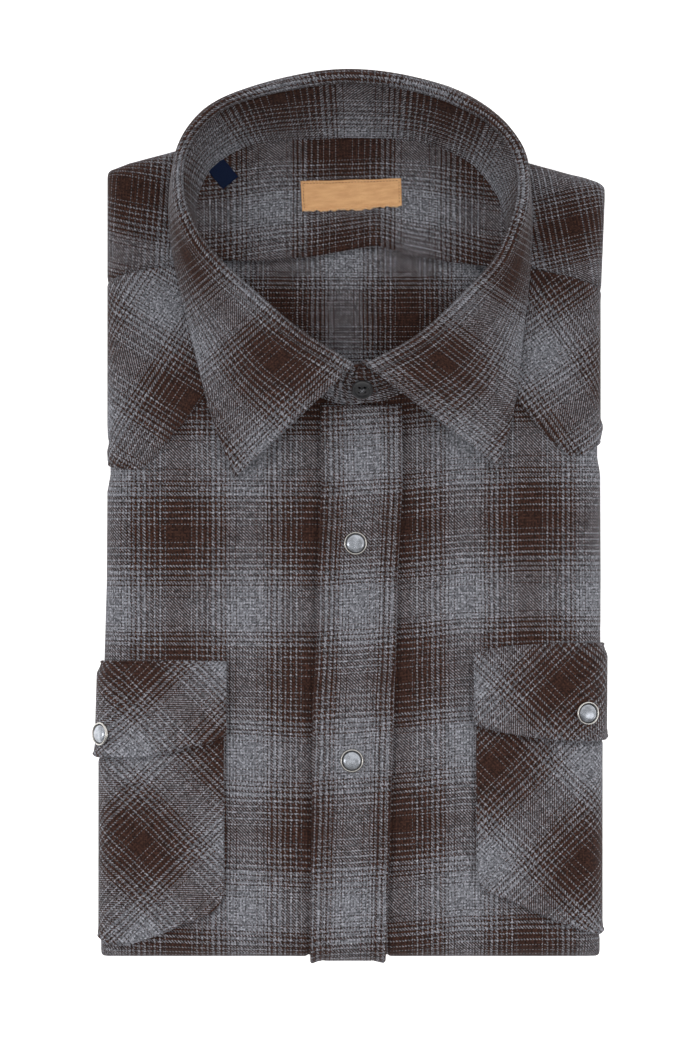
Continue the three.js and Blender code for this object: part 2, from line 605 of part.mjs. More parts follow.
// Pearl snaps: a ring with a domed cap in it.
const turned = (profile, sides) => {
  const geometry = new THREE.LatheGeometry(profile.map(([x, y]) => new THREE.Vector2(x, y)), sides);
  geometry.rotateX(Math.PI / 2);
  return toGeometry(toSolid(geometry));
};
function faceAt(across, along, lift) {
  const point = place(across, along, lift);
  const east = place(across + 2, along, lift).sub(place(across - 2, along, lift));
  const north = place(across, along + 2, lift).sub(place(across, along - 2, lift));
  return { point, out: east.cross(north).normalize() };
}
const ringProfile = [
  [SNAP.ringInner, 0], [SNAP.ring, 0], [SNAP.ring, 0.7], [SNAP.ring - 0.4, 1.3],
  [SNAP.ring - 0.8, SNAP.ringHeight], [SNAP.ringInner, 1.3], [SNAP.ringInner, 0],
];
const capProfile = [
  [0, 0], [SNAP.cap, 0], [SNAP.cap, 1.2], [SNAP.cap * 0.8, 1.65], [SNAP.cap * 0.45, 1.9], [0, SNAP.capHeight],
];
function snap(name, across, along, lift) {
  const { point, out } = faceAt(across, along, lift);
  const facing = new THREE.Quaternion().setFromUnitVectors(new THREE.Vector3(0, 0, 1), out);
  for (const [part, profile, look] of [['ring', ringProfile, SILVER], ['cap', capProfile, PEARL]]) {
    const mesh = add(`${name}_${part}`, turned(profile, SNAP.sides), look);
    mesh.position.copy(point);
    mesh.quaternion.copy(facing);
  }
}

snap('placket_snap_1', 2.6, -13.3, ON_PLACKET);
snap('placket_snap_2', 0.9, -115.4, ON_PLACKET);
snap('flap_snap_right', -115.2, -102.9, ON_POCKET + DOUBLE_CLOTH + GAP);
snap('flap_snap_left', 110.3, -93.1, ON_POCKET + DOUBLE_CLOTH + GAP);

// The collar button, on the stand's outer end.
function button() {
  const { radius, height, dish, floor, hole, holeSpacing, sides } = BUTTON;
  const bowl = turned([[0, 0], [radius - 0.6, 0], [radius, 0.7], [radius, height - 0.5], [radius - 0.5, height],
    [dish + 0.4, height], [dish, floor], [0, floor]], sides);
  let solid = toSolid(bowl);
  for (const [x, y] of [[-1, -1], [-1, 1], [1, -1], [1, 1]]) {
    const outline = new THREE.Shape().absarc(x * holeSpacing, y * holeSpacing, hole, 0, 2 * Math.PI);
    solid = solid.subtract(prism(outline.getPoints(8).slice(0, -1), -1, height + 1));
  }
  const mesh = add('collar_button', toGeometry(solid), BLACK_PLASTIC);
  const across = BUTTON_PLACE.share;
  const centre = standAt(across, BUTTON_PLACE.up);
  const lengthwise = standAt(across + 0.01, BUTTON_PLACE.up).sub(standAt(across - 0.01, BUTTON_PLACE.up));
  const upward = standAt(across, 0.9).sub(standAt(across, 0.1));
  const out = upward.clone().cross(lengthwise).normalize();
  if (out.z < 0) out.negate();
  mesh.position.copy(centre).addScaledVector(out, STAND_CLOTH / 2 + GAP + BUTTON_SEAT);
  mesh.quaternion.setFromUnitVectors(new THREE.Vector3(0, 0, 1), out);
}
button();

export default shirt;
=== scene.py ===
import math
import bpy
import numpy as np
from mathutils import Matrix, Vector


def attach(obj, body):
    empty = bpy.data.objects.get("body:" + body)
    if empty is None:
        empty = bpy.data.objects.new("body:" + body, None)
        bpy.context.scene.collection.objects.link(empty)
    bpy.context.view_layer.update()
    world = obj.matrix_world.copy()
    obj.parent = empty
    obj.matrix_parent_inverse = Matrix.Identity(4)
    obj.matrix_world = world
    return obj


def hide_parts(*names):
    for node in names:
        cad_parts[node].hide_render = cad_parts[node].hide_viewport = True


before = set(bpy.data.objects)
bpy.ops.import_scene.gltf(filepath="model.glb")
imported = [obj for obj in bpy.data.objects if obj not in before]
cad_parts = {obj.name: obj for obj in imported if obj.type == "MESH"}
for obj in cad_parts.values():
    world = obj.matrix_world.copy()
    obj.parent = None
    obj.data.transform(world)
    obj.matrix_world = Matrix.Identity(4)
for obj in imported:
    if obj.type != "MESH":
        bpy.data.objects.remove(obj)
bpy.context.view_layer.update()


# Flannel
# A brushed cotton twill in an ombre plaid: dark brown and heathered grey threads, 0.36 mm apart both ways, over and
# under each other in twos. It is the same roll of cloth for every panel, cut straight or on the bias.
# Half of the plaid's repeat across the warp, from the middle of the brown: light threads start and stop, in millimetres.
WARP_HALF = 31.5
WARP_LIGHT = [
    (3.6, 3.9), (5.9, 6.3), (8.2, 8.7), (10.6, 11.3), (13.0, 13.8), (15.2, 16.6), (17.7, 19.2), (20.4, 21.4),
    (22.2, 23.4), (24.1, 26.4), (26.8, 31.5),
]
WEFT_HALF = 35.0
WEFT_LIGHT = [
    (3.8, 4.2), (6.5, 7.0), (9.3, 9.9), (12.1, 12.8), (14.8, 15.7), (17.3, 19.0), (19.9, 21.4), (22.4, 23.6),
    (24.2, 26.6), (27.0, 29.4), (29.8, 35.0),
]
THREAD = 0.36


class Nodes:
    """Adds shader nodes to a material and links them."""

    def __init__(self, name):
        self.material = bpy.data.materials.new(name)
        self.material.use_nodes = True
        self.tree = self.material.node_tree
        self.shader = self.tree.nodes["Principled BSDF"]

    def link(self, value, socket):
        if isinstance(value, bpy.types.NodeSocket):
            self.tree.links.new(value, socket)
        else:
            socket.default_value = value

    def math(self, operation, *values):
        node = self.tree.nodes.new("ShaderNodeMath")
        node.operation = operation
        for value, socket in zip(values, node.inputs):
            self.link(value, socket)
        return node.outputs[0]

    def mix(self, share, first, second, blend="MIX"):
        node = self.tree.nodes.new("ShaderNodeMix")
        node.data_type = "RGBA"
        node.blend_type = blend
        self.link(share, node.inputs[0])
        self.link(first, node.inputs[6])
        self.link(second, node.inputs[7])
        return node.outputs[2]

    def noise(self, place, scale, detail=2.0, roughness=0.5):
        node = self.tree.nodes.new("ShaderNodeTexNoise")
        self.link(place, node.inputs["Vector"])
        node.inputs["Scale"].default_value = scale
        node.inputs["Detail"].default_value = detail
        node.inputs["Roughness"].default_value = roughness
        return node.outputs["Fac"]

    def speckle(self, place):
        node = self.tree.nodes.new("ShaderNodeTexWhiteNoise")
        node.noise_dimensions = "2D"
        self.link(place, node.inputs["Vector"])
        return node.outputs["Value"]

    def ramp(self, value, stops, interpolation="LINEAR"):
        node = self.tree.nodes.new("ShaderNodeValToRGB")
        node.color_ramp.interpolation = interpolation
        points = node.color_ramp.elements
        while len(points) < len(stops):
            points.new(0.5)
        for point, (position, grey) in zip(points, stops):
            point.position = position
            point.color = (grey, grey, grey, 1)
        self.link(value, node.inputs[0])
        return node.outputs[0]

    def join(self, x, y, z=0.0):
        node = self.tree.nodes.new("ShaderNodeCombineXYZ")
        for value, socket in zip((x, y, z), node.inputs):
            self.link(value, socket)
        return node.outputs[0]

    def cloth_place(self):
        """The place on the flat cloth, in millimetres, across the warp and across the weft."""
        node = self.tree.nodes.new("ShaderNodeUVMap")
        node.uv_map = "cloth"
        split = self.tree.nodes.new("ShaderNodeSeparateXYZ")
        self.link(node.outputs[0], split.inputs[0])
        return split.outputs[0], split.outputs[1]

    def bump(self, height, strength, distance):
        node = self.tree.nodes.new("ShaderNodeBump")
        node.inputs["Strength"].default_value = strength
        node.inputs["Distance"].default_value = distance
        self.link(height, node.inputs["Height"])
        self.link(node.outputs[0], self.shader.inputs["Normal"])

    def set(self, **values):
        for name, value in values.items():
            self.shader.inputs[name.replace("_", " ")].default_value = value


def light_stops(bands, half):
    stops = [(0.0, 0.0)]
    for start, stop in bands:
        stops.append((start / half, 1.0))
        if stop < half:
            stops.append((stop / half, 0.0))
    return stops


def flannel_cloth():
    nodes = Nodes("flannel")
    u, v = nodes.cloth_place()
    place = nodes.join(u, v)
    wander_u = nodes.math("MULTIPLY_ADD", nodes.noise(place, 0.05, 1.0), 0.8, -0.4)
    wander_v = nodes.math("MULTIPLY_ADD", nodes.noise(nodes.join(v, u, 7.0), 0.05, 1.0), 0.8, -0.4)
    across = nodes.math("ADD", u, wander_u)
    along = nodes.math("ADD", v, wander_v)
    warp_end = nodes.math("FLOOR", nodes.math("DIVIDE", across, THREAD))
    weft_pick = nodes.math("FLOOR", nodes.math("DIVIDE", along, THREAD))
    warp_at = nodes.math("PINGPONG", nodes.math("MULTIPLY", warp_end, THREAD), WARP_HALF)
    weft_at = nodes.math("PINGPONG", nodes.math("MULTIPLY", weft_pick, THREAD), WEFT_HALF)
    warp_light = nodes.ramp(nodes.math("DIVIDE", warp_at, WARP_HALF), light_stops(WARP_LIGHT, WARP_HALF), "CONSTANT")
    weft_light = nodes.ramp(nodes.math("DIVIDE", weft_at, WEFT_HALF), light_stops(WEFT_LIGHT, WEFT_HALF), "CONSTANT")
    warp_heather = nodes.noise(nodes.join(nodes.math("MULTIPLY", warp_end, 1.7), nodes.math("MULTIPLY", v, 0.9)), 1.0)
    weft_heather = nodes.noise(nodes.join(nodes.math("MULTIPLY", u, 0.9), nodes.math("MULTIPLY", weft_pick, 1.7), 3.0), 1.0)
    brown = (0.017, 0.0065, 0.004, 1)
    pale_brown = (0.032, 0.0135, 0.0088, 1)
    grey = (0.05, 0.05, 0.056, 1)
    pale_grey = (0.215, 0.218, 0.242, 1)
    colours = []
    for light, heather in ((warp_light, warp_heather), (weft_light, weft_heather)):
        streak = nodes.ramp(heather, [(0.3, 0.0), (0.7, 1.0)])
        colours.append(nodes.mix(light, nodes.mix(streak, brown, pale_brown), nodes.mix(streak, grey, pale_grey)))
    step = nodes.math("FLOORED_MODULO", nodes.math("ADD", warp_end, weft_pick), 4.0)
    warp_on_top = nodes.math("LESS_THAN", step, 1.5)
    woven = nodes.mix(warp_on_top, colours[1], colours[0])
    brushed = nodes.mix(0.12, woven, nodes.mix(1.0, colours[0], colours[1], "DARKEN"))
    fuzz = nodes.noise(place, 2.4, 2.0, 0.75)
    nap = nodes.ramp(fuzz, [(0.3, 0.75), (0.5, 1.0), (0.72, 1.3)])
    pair_of_ends = nodes.math("FLOOR", nodes.math("DIVIDE", warp_end, 2.0))
    pair_of_picks = nodes.math("FLOOR", nodes.math("DIVIDE", weft_pick, 2.0))
    fleck = nodes.ramp(nodes.speckle(nodes.join(pair_of_ends, pair_of_picks)), [(0.0, 0.45), (1.0, 1.55)])
    turn = 2 * math.pi / (4 * THREAD)
    # Light and dark ribs every four threads, multiplied into the colour: painted shade in the grooves between pairs of
    # threads.
    groove_shade_across = nodes.math("SINE", nodes.math("MULTIPLY", across, turn))
    groove_shade_along = nodes.math("SINE", nodes.math("MULTIPLY", along, turn))
    ribs = nodes.math("MULTIPLY_ADD", nodes.math("ADD", groove_shade_across, groove_shade_along), 0.17, 1.0)
    flecked = nodes.mix(1.0, brushed, nodes.math("MULTIPLY", fleck, ribs), "MULTIPLY")
    nodes.link(nodes.mix(1.0, flecked, nap, "MULTIPLY"), nodes.shader.inputs["Base Color"])
    ridge = nodes.math("SINE", nodes.math("MULTIPLY", nodes.math("ADD", across, along), turn))
    nodes.bump(nodes.math("MULTIPLY_ADD", ridge, 0.3, fuzz), 0.3, 0.0002)
    nodes.set(Roughness=0.95, Specular_IOR_Level=0.1, Sheen_Weight=0.07, Sheen_Roughness=0.6)
    nodes.shader.inputs["Sheen Tint"].default_value = (0.86, 0.86, 0.9, 1)
    return nodes.material


flannel = flannel_cloth()


# Body of the shirt
# The folded shirt's rounded face, on which all the outer panels lie: the side folds, the bottom fold and the shoulders,
# with the soft folds left by pressing. Places are measured in millimetres along the cloth, from the middle of the shirt.
RIM = 10.0
UNDER_RIM = 1.5
QUARTER_TURN = RIM * math.pi / 2
SIDE_WRAP = QUARTER_TURN * 1.15
BOTTOM_WRAP = QUARTER_TURN * 1.62
TOP_WRAP = QUARTER_TURN * 1.35
BOTTOM = -207.9
LOW_END = BOTTOM + RIM - BOTTOM_WRAP
CLOTH = 1.2
GAP = 0.3
SIDES = np.array([
    (-215, 118.4, 118.6), (-205, 118.3, 118.5), (-199, 117.2, 117.6), (-115, 117.1, 117.6), (-62, 115.6, 118.0),
    (-30, 114.6, 118.2), (11, 114.4, 118.0), (19, 112.9, 118.0), (27, 112.9, 116.6), (32, 113.1, 116.6),
    (37, 114.2, 117.0), (43, 114.4, 118.2), (100, 114.4, 118.2), (150, 114.4, 120.2),
])
SHOULDERS = np.array([
    (-130, 160.5), (-114, 163.2), (-80, 172.2), (-47, 183.0), (47, 183.0), (82, 166.6), (104, 160.6), (113, 158.6),
    (119, 157.2), (124, 155.6),
])
THICKNESS = np.array([(-205, 19.0), (-120, 21.0), (20, 21.0), (90, 19.5), (150, 16.5), (190, 15.5)])
# Each fold or crease: across, along, turn, length, width, height.
CREASES = [
    (-60, -25, 80, 75, 17, 0.9), (-92, 60, 104, 70, 18, -0.7), (62, 5, 97, 85, 18, 0.9),
    (44, -130, 86, 70, 16, -0.7), (-38, -150, 97, 60, 16, 0.7),
    (-47, 22, 62, 26, 4.5, 0.40), (-31, -48, 96, 38, 3.6, -0.30), (-84, -22, 12, 24, 4.0, 0.35),
    (-40, -96, 84, 33, 4.4, 0.32), (-26, -168, 78, 22, 3.4, -0.28), (-66, -12, 150, 20, 3.6, -0.25),
    (34, 9, 108, 28, 4.0, -0.34), (48, -52, 93, 36, 4.2, 0.36), (30, -92, 82, 26, 3.2, 0.26),
    (86, 12, 22, 24, 4.4, -0.30), (42, -176, 100, 24, 4.0, 0.34), (101, -24, 70, 19, 3.6, 0.28),
    (-92, 88, 118, 24, 4.4, 0.40), (-101, 44, 40, 18, 3.6, -0.28), (96, 92, 64, 26, 4.6, 0.38),
    (104, 58, 132, 17, 3.4, -0.26), (-99, 140, 28, 22, 4.2, 0.42), (99, 136, 152, 20, 3.8, 0.34),
    (-88, -150, 55, 26, 4.0, 0.34), (-102, -176, 12, 18, 3.6, -0.28), (88, -140, 128, 28, 4.2, 0.34),
    (70, -162, 82, 20, 3.4, -0.26), (-84, -92, 8, 20, 3.2, 0.24), (90, -84, 172, 22, 3.4, 0.26),
]


def relief_of(table, x, y):
    """Height of a table's folds and creases."""
    height = np.zeros_like(x)
    for across, along, turn, length, width, rise in table:
        angle = math.radians(turn)
        lengthwise = ((x - across) * math.cos(angle) + (y - along) * math.sin(angle)) / length
        sideways = (-(x - across) * math.sin(angle) + (y - along) * math.cos(angle)) / width
        height += rise * np.exp(-2 * (lengthwise ** 2 + sideways ** 2))
    return height


def shoulder_at(across):
    return np.interp(across, SHOULDERS[:, 0], SHOULDERS[:, 1]) - RIM


def place(across, along, lift):
    """Points of the shirt's face, at a height above it. Places past the flat top run round the rim."""
    across, along, lift = (np.array(a, float) for a in np.broadcast_arrays(across, along, lift))
    level = np.clip(along, -200, 150)
    side = np.where(across < 0, np.interp(level, SIDES[:, 0], SIDES[:, 1]), np.interp(level, SIDES[:, 0], SIDES[:, 2]))
    flat_x = side - RIM
    flat_top = shoulder_at(across)
    over_x = np.sign(across) * np.maximum(0, np.abs(across) - flat_x)
    over_y = np.maximum(0, along - flat_top) - np.maximum(0, BOTTOM + RIM - along)
    over = np.maximum(np.abs(over_x), np.abs(over_y))
    x = np.sign(across) * np.minimum(np.abs(across), flat_x)
    y = np.minimum(np.maximum(along, BOTTOM + RIM), flat_top)
    height = np.interp(y, THICKNESS[:, 0], THICKNESS[:, 1])
    turn = over / RIM
    middle = (height + UNDER_RIM) / 2
    rim_height = (height - UNDER_RIM) / 2 + lift
    diagonal = (np.abs(over_x) ** 10 + np.abs(over_y) ** 10) ** 0.1
    reach = (RIM + lift) * np.sin(turn) / np.where(diagonal > 0, diagonal, 1)
    z = middle + rim_height * np.cos(turn) + relief_of(CREASES, x, y) * np.maximum(0, np.cos(turn))
    return np.stack([x + reach * over_x, y + reach * over_y, z], axis=-1)


def smooth(value, low, high):
    share = np.clip((value - low) / (high - low), 0, 1)
    return share * share * (3 - 2 * share)


def shell(name, under, over, flat, node=None, material=None):
    """A thin closed wall between two grids of points. flat is each point's place on the flat cloth."""
    rows, columns = over.shape[:2]
    low = np.arange(rows * columns).reshape(rows, columns)
    high = low + rows * columns
    faces = [
        np.stack([high[:-1, :-1], high[:-1, 1:], high[1:, 1:], high[1:, :-1]], -1).reshape(-1, 4),
        np.stack([low[:-1, :-1], low[1:, :-1], low[1:, 1:], low[:-1, 1:]], -1).reshape(-1, 4),
        np.stack([low[0, :-1], low[0, 1:], high[0, 1:], high[0, :-1]], -1),
        np.stack([low[-1, 1:], low[-1, :-1], high[-1, :-1], high[-1, 1:]], -1),
        np.stack([low[1:, 0], low[:-1, 0], high[:-1, 0], high[1:, 0]], -1),
        np.stack([low[:-1, -1], low[1:, -1], high[1:, -1], high[:-1, -1]], -1),
    ]
    points = np.concatenate([under.reshape(-1, 3), over.reshape(-1, 3)])
    places = np.concatenate([flat.reshape(-1, 2)] * 2)
    return piece(name, points, np.concatenate(faces), places, node, material)


def piece(name, points, faces, places, node=None, material=None):
    mesh = bpy.data.meshes.new(name)
    mesh.from_pydata((points / 1000).tolist(), [], faces if isinstance(faces, list) else faces.tolist())
    layer = mesh.uv_layers.new(name="cloth")
    corners = np.empty(len(mesh.loops), dtype=np.int32)
    mesh.loops.foreach_get("vertex_index", corners)
    layer.data.foreach_set("uv", places[corners].astype(np.float32).ravel())
    mesh.polygons.foreach_set("use_smooth", [True] * len(mesh.polygons))
    mesh.materials.append(material or flannel)
    made = bpy.data.objects.new(name, mesh)
    bpy.context.scene.collection.objects.link(made)
    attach(made, "root")
    if node:
        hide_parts(*([node] if isinstance(node, str) else node))
    return made


def steps_between(low, high, size, fine_low=(), fine_high=()):
    """Places from low to high, about a size apart, with finer ones near the ends."""
    inner_low = low + (fine_low[-1] if len(fine_low) else 0)
    inner_high = high - (fine_high[-1] if len(fine_high) else 0)
    count = max(2, int(round((inner_high - inner_low) / size)))
    middle = np.linspace(inner_low, inner_high, count + 1)
    start = [low + d for d in fine_low[:-1]]
    end = [high - d for d in fine_high[:-1]][::-1]
    return np.array([*start, *middle, *end])


EDGE_STEPS = (0.0, 0.25, 0.6, 1.0, 1.5, 2.0, 2.6, 3.4, 4.4, 5.6, 7.0)
GRID = 2.0


def puckers(along, seed=0.0):
    """Small uneven waves that a row of stitches draws in the cloth."""
    waves = np.sin(along / 1.13 + seed) + 0.8 * np.sin(along / 1.87 + 2.1 * seed) + 0.7 * np.sin(along / 3.1 + 3 * seed)
    return waves / 2.5


def sewn_edge(distance, along, stitch=1.7, seed=0.0):
    """Height that a folded and stitched edge takes off the cloth, and the puckers beside it, at a distance from it."""
    rounded = -0.75 * np.exp(-(distance / 0.42) ** 2)
    row = -0.34 * np.exp(-((distance - stitch) / 0.55) ** 2)
    waves = 0.13 * puckers(along, seed) * np.exp(-((distance - stitch) / 3.5) ** 2)
    return rounded + row + waves


def panel(name, columns, lower, upper, lift, cloth, grain, node=None, fine=(EDGE_STEPS, EDGE_STEPS), soften=None,
          flare=None, rows=None):
    """A panel of cloth on the shirt's face. Its columns run from its lower edge to its upper edge."""
    if rows is None:
        rows = np.linspace(0, 1, max(4, int(np.max(upper(columns) - lower(columns)) / GRID)) + 1)
    low = lower(columns)
    high = upper(columns)
    fixed_low = np.array(fine[0][:-1]) if len(fine[0]) else np.array([])
    fixed_high = np.array(fine[1][:-1]) if len(fine[1]) else np.array([])
    first = fine[0][-1] if len(fine[0]) else 0.0
    last = fine[1][-1] if len(fine[1]) else 0.0
    middle = [low + first + (high - last - low - first) * share for share in rows]
    along = np.array([*(low + d for d in fixed_low), *middle, *(high - d for d in fixed_high[::-1])])
    across = np.broadcast_to(columns, along.shape)
    from_low = along - low
    from_high = high - along
    base = lift(across, along, from_low, from_high)
    if flare is not None:
        base = base + flare(across, along, from_low, from_high)
    top = base + cloth
    if soften is not None:
        top = top + soften(across, along, from_low, from_high)
    return shell(name, place(across, along, base), place(across, along, top), grain(across, along), node)


def flared(distance, along, rise):
    """How far a free edge curls off the cloth below it, unevenly along its length."""
    return rise * (0.65 + 0.35 * np.sin(along / 9.0) * np.sin(along / 5.3 + 1)) * np.exp(-(distance / 2.6) ** 2)


def straight_grain(u_from, v_from, u_size=1.0, v_size=1.0, slant=None):
    def grain(across, along):
        bend = slant(across, along) if slant else 0.0
        return np.stack([(across - u_from) * u_size, (along - bend - v_from) * v_size], -1)
    return grain


def turned_grain(dark, u_turn, v_turn, u_size=1.0, v_size=1.0):
    """A panel cut at an angle: the plaid's dark middle, and the directions across the warp and across the weft."""
    def grain(across, along):
        x = across - dark[0]
        y = along - dark[1]
        u = x * math.cos(math.radians(u_turn)) + y * math.sin(math.radians(u_turn))
        v = x * math.cos(math.radians(v_turn)) + y * math.sin(math.radians(v_turn))
        return np.stack([u * u_size, v * v_size], -1)
    return grain


# Neckline
# The seam in which the collar is sewn to the shirt. The stations run from the wearer's right front corner round the back
# to the left one: the collar's roll line, the leaf's outer edge, and the stand's seam on the neckline.
COLLAR = [
    ((1.9, 70.0, 42.5), (-54.0, 16.9, 24.4), (-2.8, 52.6), 0), ((-23.5, 86.0, 41.5), (-65.8, 48.9, 24.6), (-29.1, 64.4), 0.2),
    ((-47.5, 106.5, 41.0), (-74.3, 83.2, 23.4), (-55.0, 92.6), 1.6), ((-60.6, 118.4, 42.0), (-79.0, 102.5, 21.8), (-66.0, 112.0), 0.2),
    ((-71.9, 133.0, 43.0), (-83.2, 124.1, 20.2), (-71.9, 131.0), 0), ((-78.2, 150.4, 43.5), (-84.7, 144.3, 18.9), (-73.0, 146.0), 0),
    ((-77.3, 168.3, 43.5), (-82.5, 165.0, 17.0), (-67.7, 161.0), 0), ((-69.6, 181.2, 43.0), (-76.6, 181.5, 9.0), (-59.2, 168.7), 0),
    ((-55.9, 191.8, 42.5), (-63.4, 194.4, 5.0), (-46.1, 175.0), 0), ((-17.4, 201.3, 42.0), (-20.2, 207.2, 2.5), (-15.0, 178.0), 0),
    ((4.7, 202.4, 42.0), (4.7, 208.3, 2.2), (4.7, 178.0), 0), ((31.3, 198.6, 42.0), (35.2, 204.8, 2.5), (29.1, 177.0), 0),
    ((49.8, 192.0, 42.5), (55.5, 197.6, 4.5), (45.1, 172.5), 0), ((65.3, 183.2, 43.0), (72.8, 184.6, 8.5), (57.8, 165.4), 0),
    ((75.7, 170.6, 43.5), (81.6, 170.2, 14.0), (66.7, 155.6), 0), ((79.2, 153.7, 43.5), (84.6, 149.9, 18.6), (72.4, 144.3), 0),
    ((75.2, 135.4, 43.0), (85.0, 129.7, 20.0), (74.3, 130.2), 0), ((67.2, 118.4, 42.0), (83.7, 107.6, 21.4), (70.0, 112.3), 0.4),
    ((56.2, 106.2, 41.5), (81.8, 89.3, 22.9), (60.2, 95.4), 1.7), ((32.4, 84.1, 41.0), (77.1, 50.3, 24.4), (39.5, 67.2), 0.8),
    ((7.5, 70.0, 41.5), (70.4, 22.3, 24.4), (11.3, 53.6), 2.7),
]
UNDER_END = ((9.0, 73.0, 39.0), None, (10.5, 54.6), 0)
OVER_END = ((-9.5, 71.0, 40.0), None, (-12.6, 57.0), 3.0)
STAND_CLOTH = 2.0
LEAF_CLOTH = 1.8


def curve_points(points, shares):
    """A smooth curve through points, at shares of its length in stations."""
    points = np.asarray(points, float)
    last = len(points) - 1
    padded = np.concatenate([[2 * points[0] - points[1]], points, [2 * points[-1] - points[-2]]])
    position = np.clip(np.asarray(shares, float), 0, 1) * last
    station = np.minimum(position.astype(int), last - 1)
    weight = (position - station)[:, None]
    p0, p1, p2, p3 = (padded[station + k] for k in range(4))
    gap0, gap1, gap2 = (np.maximum(np.linalg.norm(b - a, axis=1, keepdims=True), 1e-4) ** 0.5
                        for a, b in ((p0, p1), (p1, p2), (p2, p3)))
    start = ((p1 - p0) / gap0 - (p2 - p0) / (gap0 + gap1) + (p2 - p1) / gap1) * gap1
    end = ((p2 - p1) / gap1 - (p3 - p1) / (gap1 + gap2) + (p3 - p2) / gap2) * gap1
    return (p1 + start * weight + (-3 * p1 + 3 * p2 - 2 * start - end) * weight ** 2
            + (2 * p1 - 2 * p2 + start + end) * weight ** 3)


def seam_points(rows):
    flat = np.array([row[2] for row in rows], float)
    height = place(flat[:, 0], flat[:, 1], 0.0)[:, 2] + 1.25 + np.array([row[3] for row in rows])
    return np.column_stack([flat, height])


neck_line = curve_points(seam_points(COLLAR), np.linspace(0, 1, 400))
NECK_MIDDLE = 118.0
neck_angles = np.arctan2(neck_line[:, 0], neck_line[:, 1] - NECK_MIDDLE)
neck_order = np.argsort(neck_angles)


def around_neck(x, y, values):
    """A value of the neckline in the direction of a point from the neck's middle."""
    return np.interp(np.arctan2(x, y - NECK_MIDDLE), neck_angles[neck_order], values[neck_order], period=2 * math.pi)


def inside_neck(x, y):
    """How far inside the neckline a point is, below nought outside it."""
    reach = np.hypot(neck_line[:, 0], neck_line[:, 1] - NECK_MIDDLE)
    return around_neck(x, y, reach) - np.hypot(x, y - NECK_MIDDLE)


def neck_front(across):
    """Where the neckline's front half crosses a line along the shirt."""
    front = neck_line[neck_line[:, 1] < 138]
    right = front[front[:, 0] < 4]
    left = front[front[:, 0] > -4][::-1]
    order_right = np.argsort(right[:, 0])
    order_left = np.argsort(left[:, 0])
    on_right = np.interp(across, right[order_right, 0], right[order_right, 1], left=400)
    on_left = np.interp(across, left[order_left, 0], left[order_left, 1], right=400)
    return np.where(across < 4, on_right, on_left)


# Fronts
# The wearer's right and left fronts, one layer of flannel each, cut straight. They wrap round the side folds and the
# bottom fold. The right one runs on under the placket, and both run a little way under their yokes.
RIGHT_YOKE_EDGE = np.array([
    (-150, 26.0), (-113.7, 22.6), (-105, 21.4), (-97.3, 21.4), (-90.5, 28.2), (-81.3, 39.5), (-68.1, 55.9),
    (-47, 83.2), (-36, 97),
])
LEFT_YOKE_EDGE = np.array([
    (40, 100), (51.7, 86.0), (78.5, 53.6), (89.3, 40.4), (100.6, 29.1), (104.3, 27.3), (111.4, 28.4), (117.5, 32.4),
    (150, 40),
])
PLACKET_SIDES = np.array([
    (-240, -19.2, 16.0), (-207, -18.6, 16.9), (-148, -18.0, 18.8), (-88, -17.4, 20.7), (-60, -15.7, 21.7),
    (-30, -15.3, 22.3), (16, -13.3, 24.7), (60, -14.2, 24.2),
])
RIGHT_POCKET = np.array([
    (-158, -188.0), (-110, -202.4), (-102, -201.2), (-89.3, -197.4), (-77.5, -192.2), (-67.7, -188.5),
    (-61.1, -184.2), (-59.2, -178),
])
LEFT_POCKET = np.array([
    (59.2, -168), (61.6, -175.3), (66.7, -178.3), (75.2, -181.6), (93.1, -189.4), (109, -195.3), (117, -197.6),
    (158, -184),
])
FIRST = -104 - SIDE_WRAP
LAST = 107 + SIDE_WRAP


def curve_at(table, softness=1.6):
    """A seam line's place along the shirt, with its corners rounded a little."""
    def at(across):
        total = np.zeros_like(np.asarray(across, float))
        for shift, share in ((-softness, 0.25), (0, 0.5), (softness, 0.25)):
            total = total + share * np.interp(np.asarray(across, float) + shift, table[:, 0], table[:, 1])
        return total
    return at


right_yoke_edge = curve_at(RIGHT_YOKE_EDGE)
left_yoke_edge = curve_at(LEFT_YOKE_EDGE)


def right_slant(across, along):
    return -0.037 * (across + 35) * smooth(-along, 52, 78)


def left_slant(across, along):
    return 0.095 * (np.minimum(across, 54) + 18 * smooth(across, 54, 90) * 0.5 - 40)


def on_front(across, along, from_low, from_high):
    return np.full_like(across, -CLOTH)


def sunk(distance):
    """How far cloth sinks beside the edge of a piece that is sewn on it, at a distance outside that edge."""
    return -0.85 * np.exp(-((distance - 0.7) / 1.0) ** 2)


def beside_pieces(across, along, from_low, from_high):
    right = np.interp(along, PLACKET_SIDES[:, 0], PLACKET_SIDES[:, 1])
    left = np.interp(along, PLACKET_SIDES[:, 0], PLACKET_SIDES[:, 2])
    by_placket = sunk(np.maximum(right - across, across - left))
    inner = np.where(along > -104, 58.1, 59.2)
    corner = np.where(across < 0, -178, -168)
    by_side = sunk(inner - np.abs(across)) * smooth(along - corner, -5, 1) * smooth(-along, 58, 64)
    lower = np.where(across < 0, curve_at(RIGHT_POCKET)(across), curve_at(LEFT_POCKET)(across))
    by_lower = sunk((lower - along) * 0.93) * smooth(np.abs(across), 58, 60.5)
    return by_placket + np.minimum(by_side, by_lower)


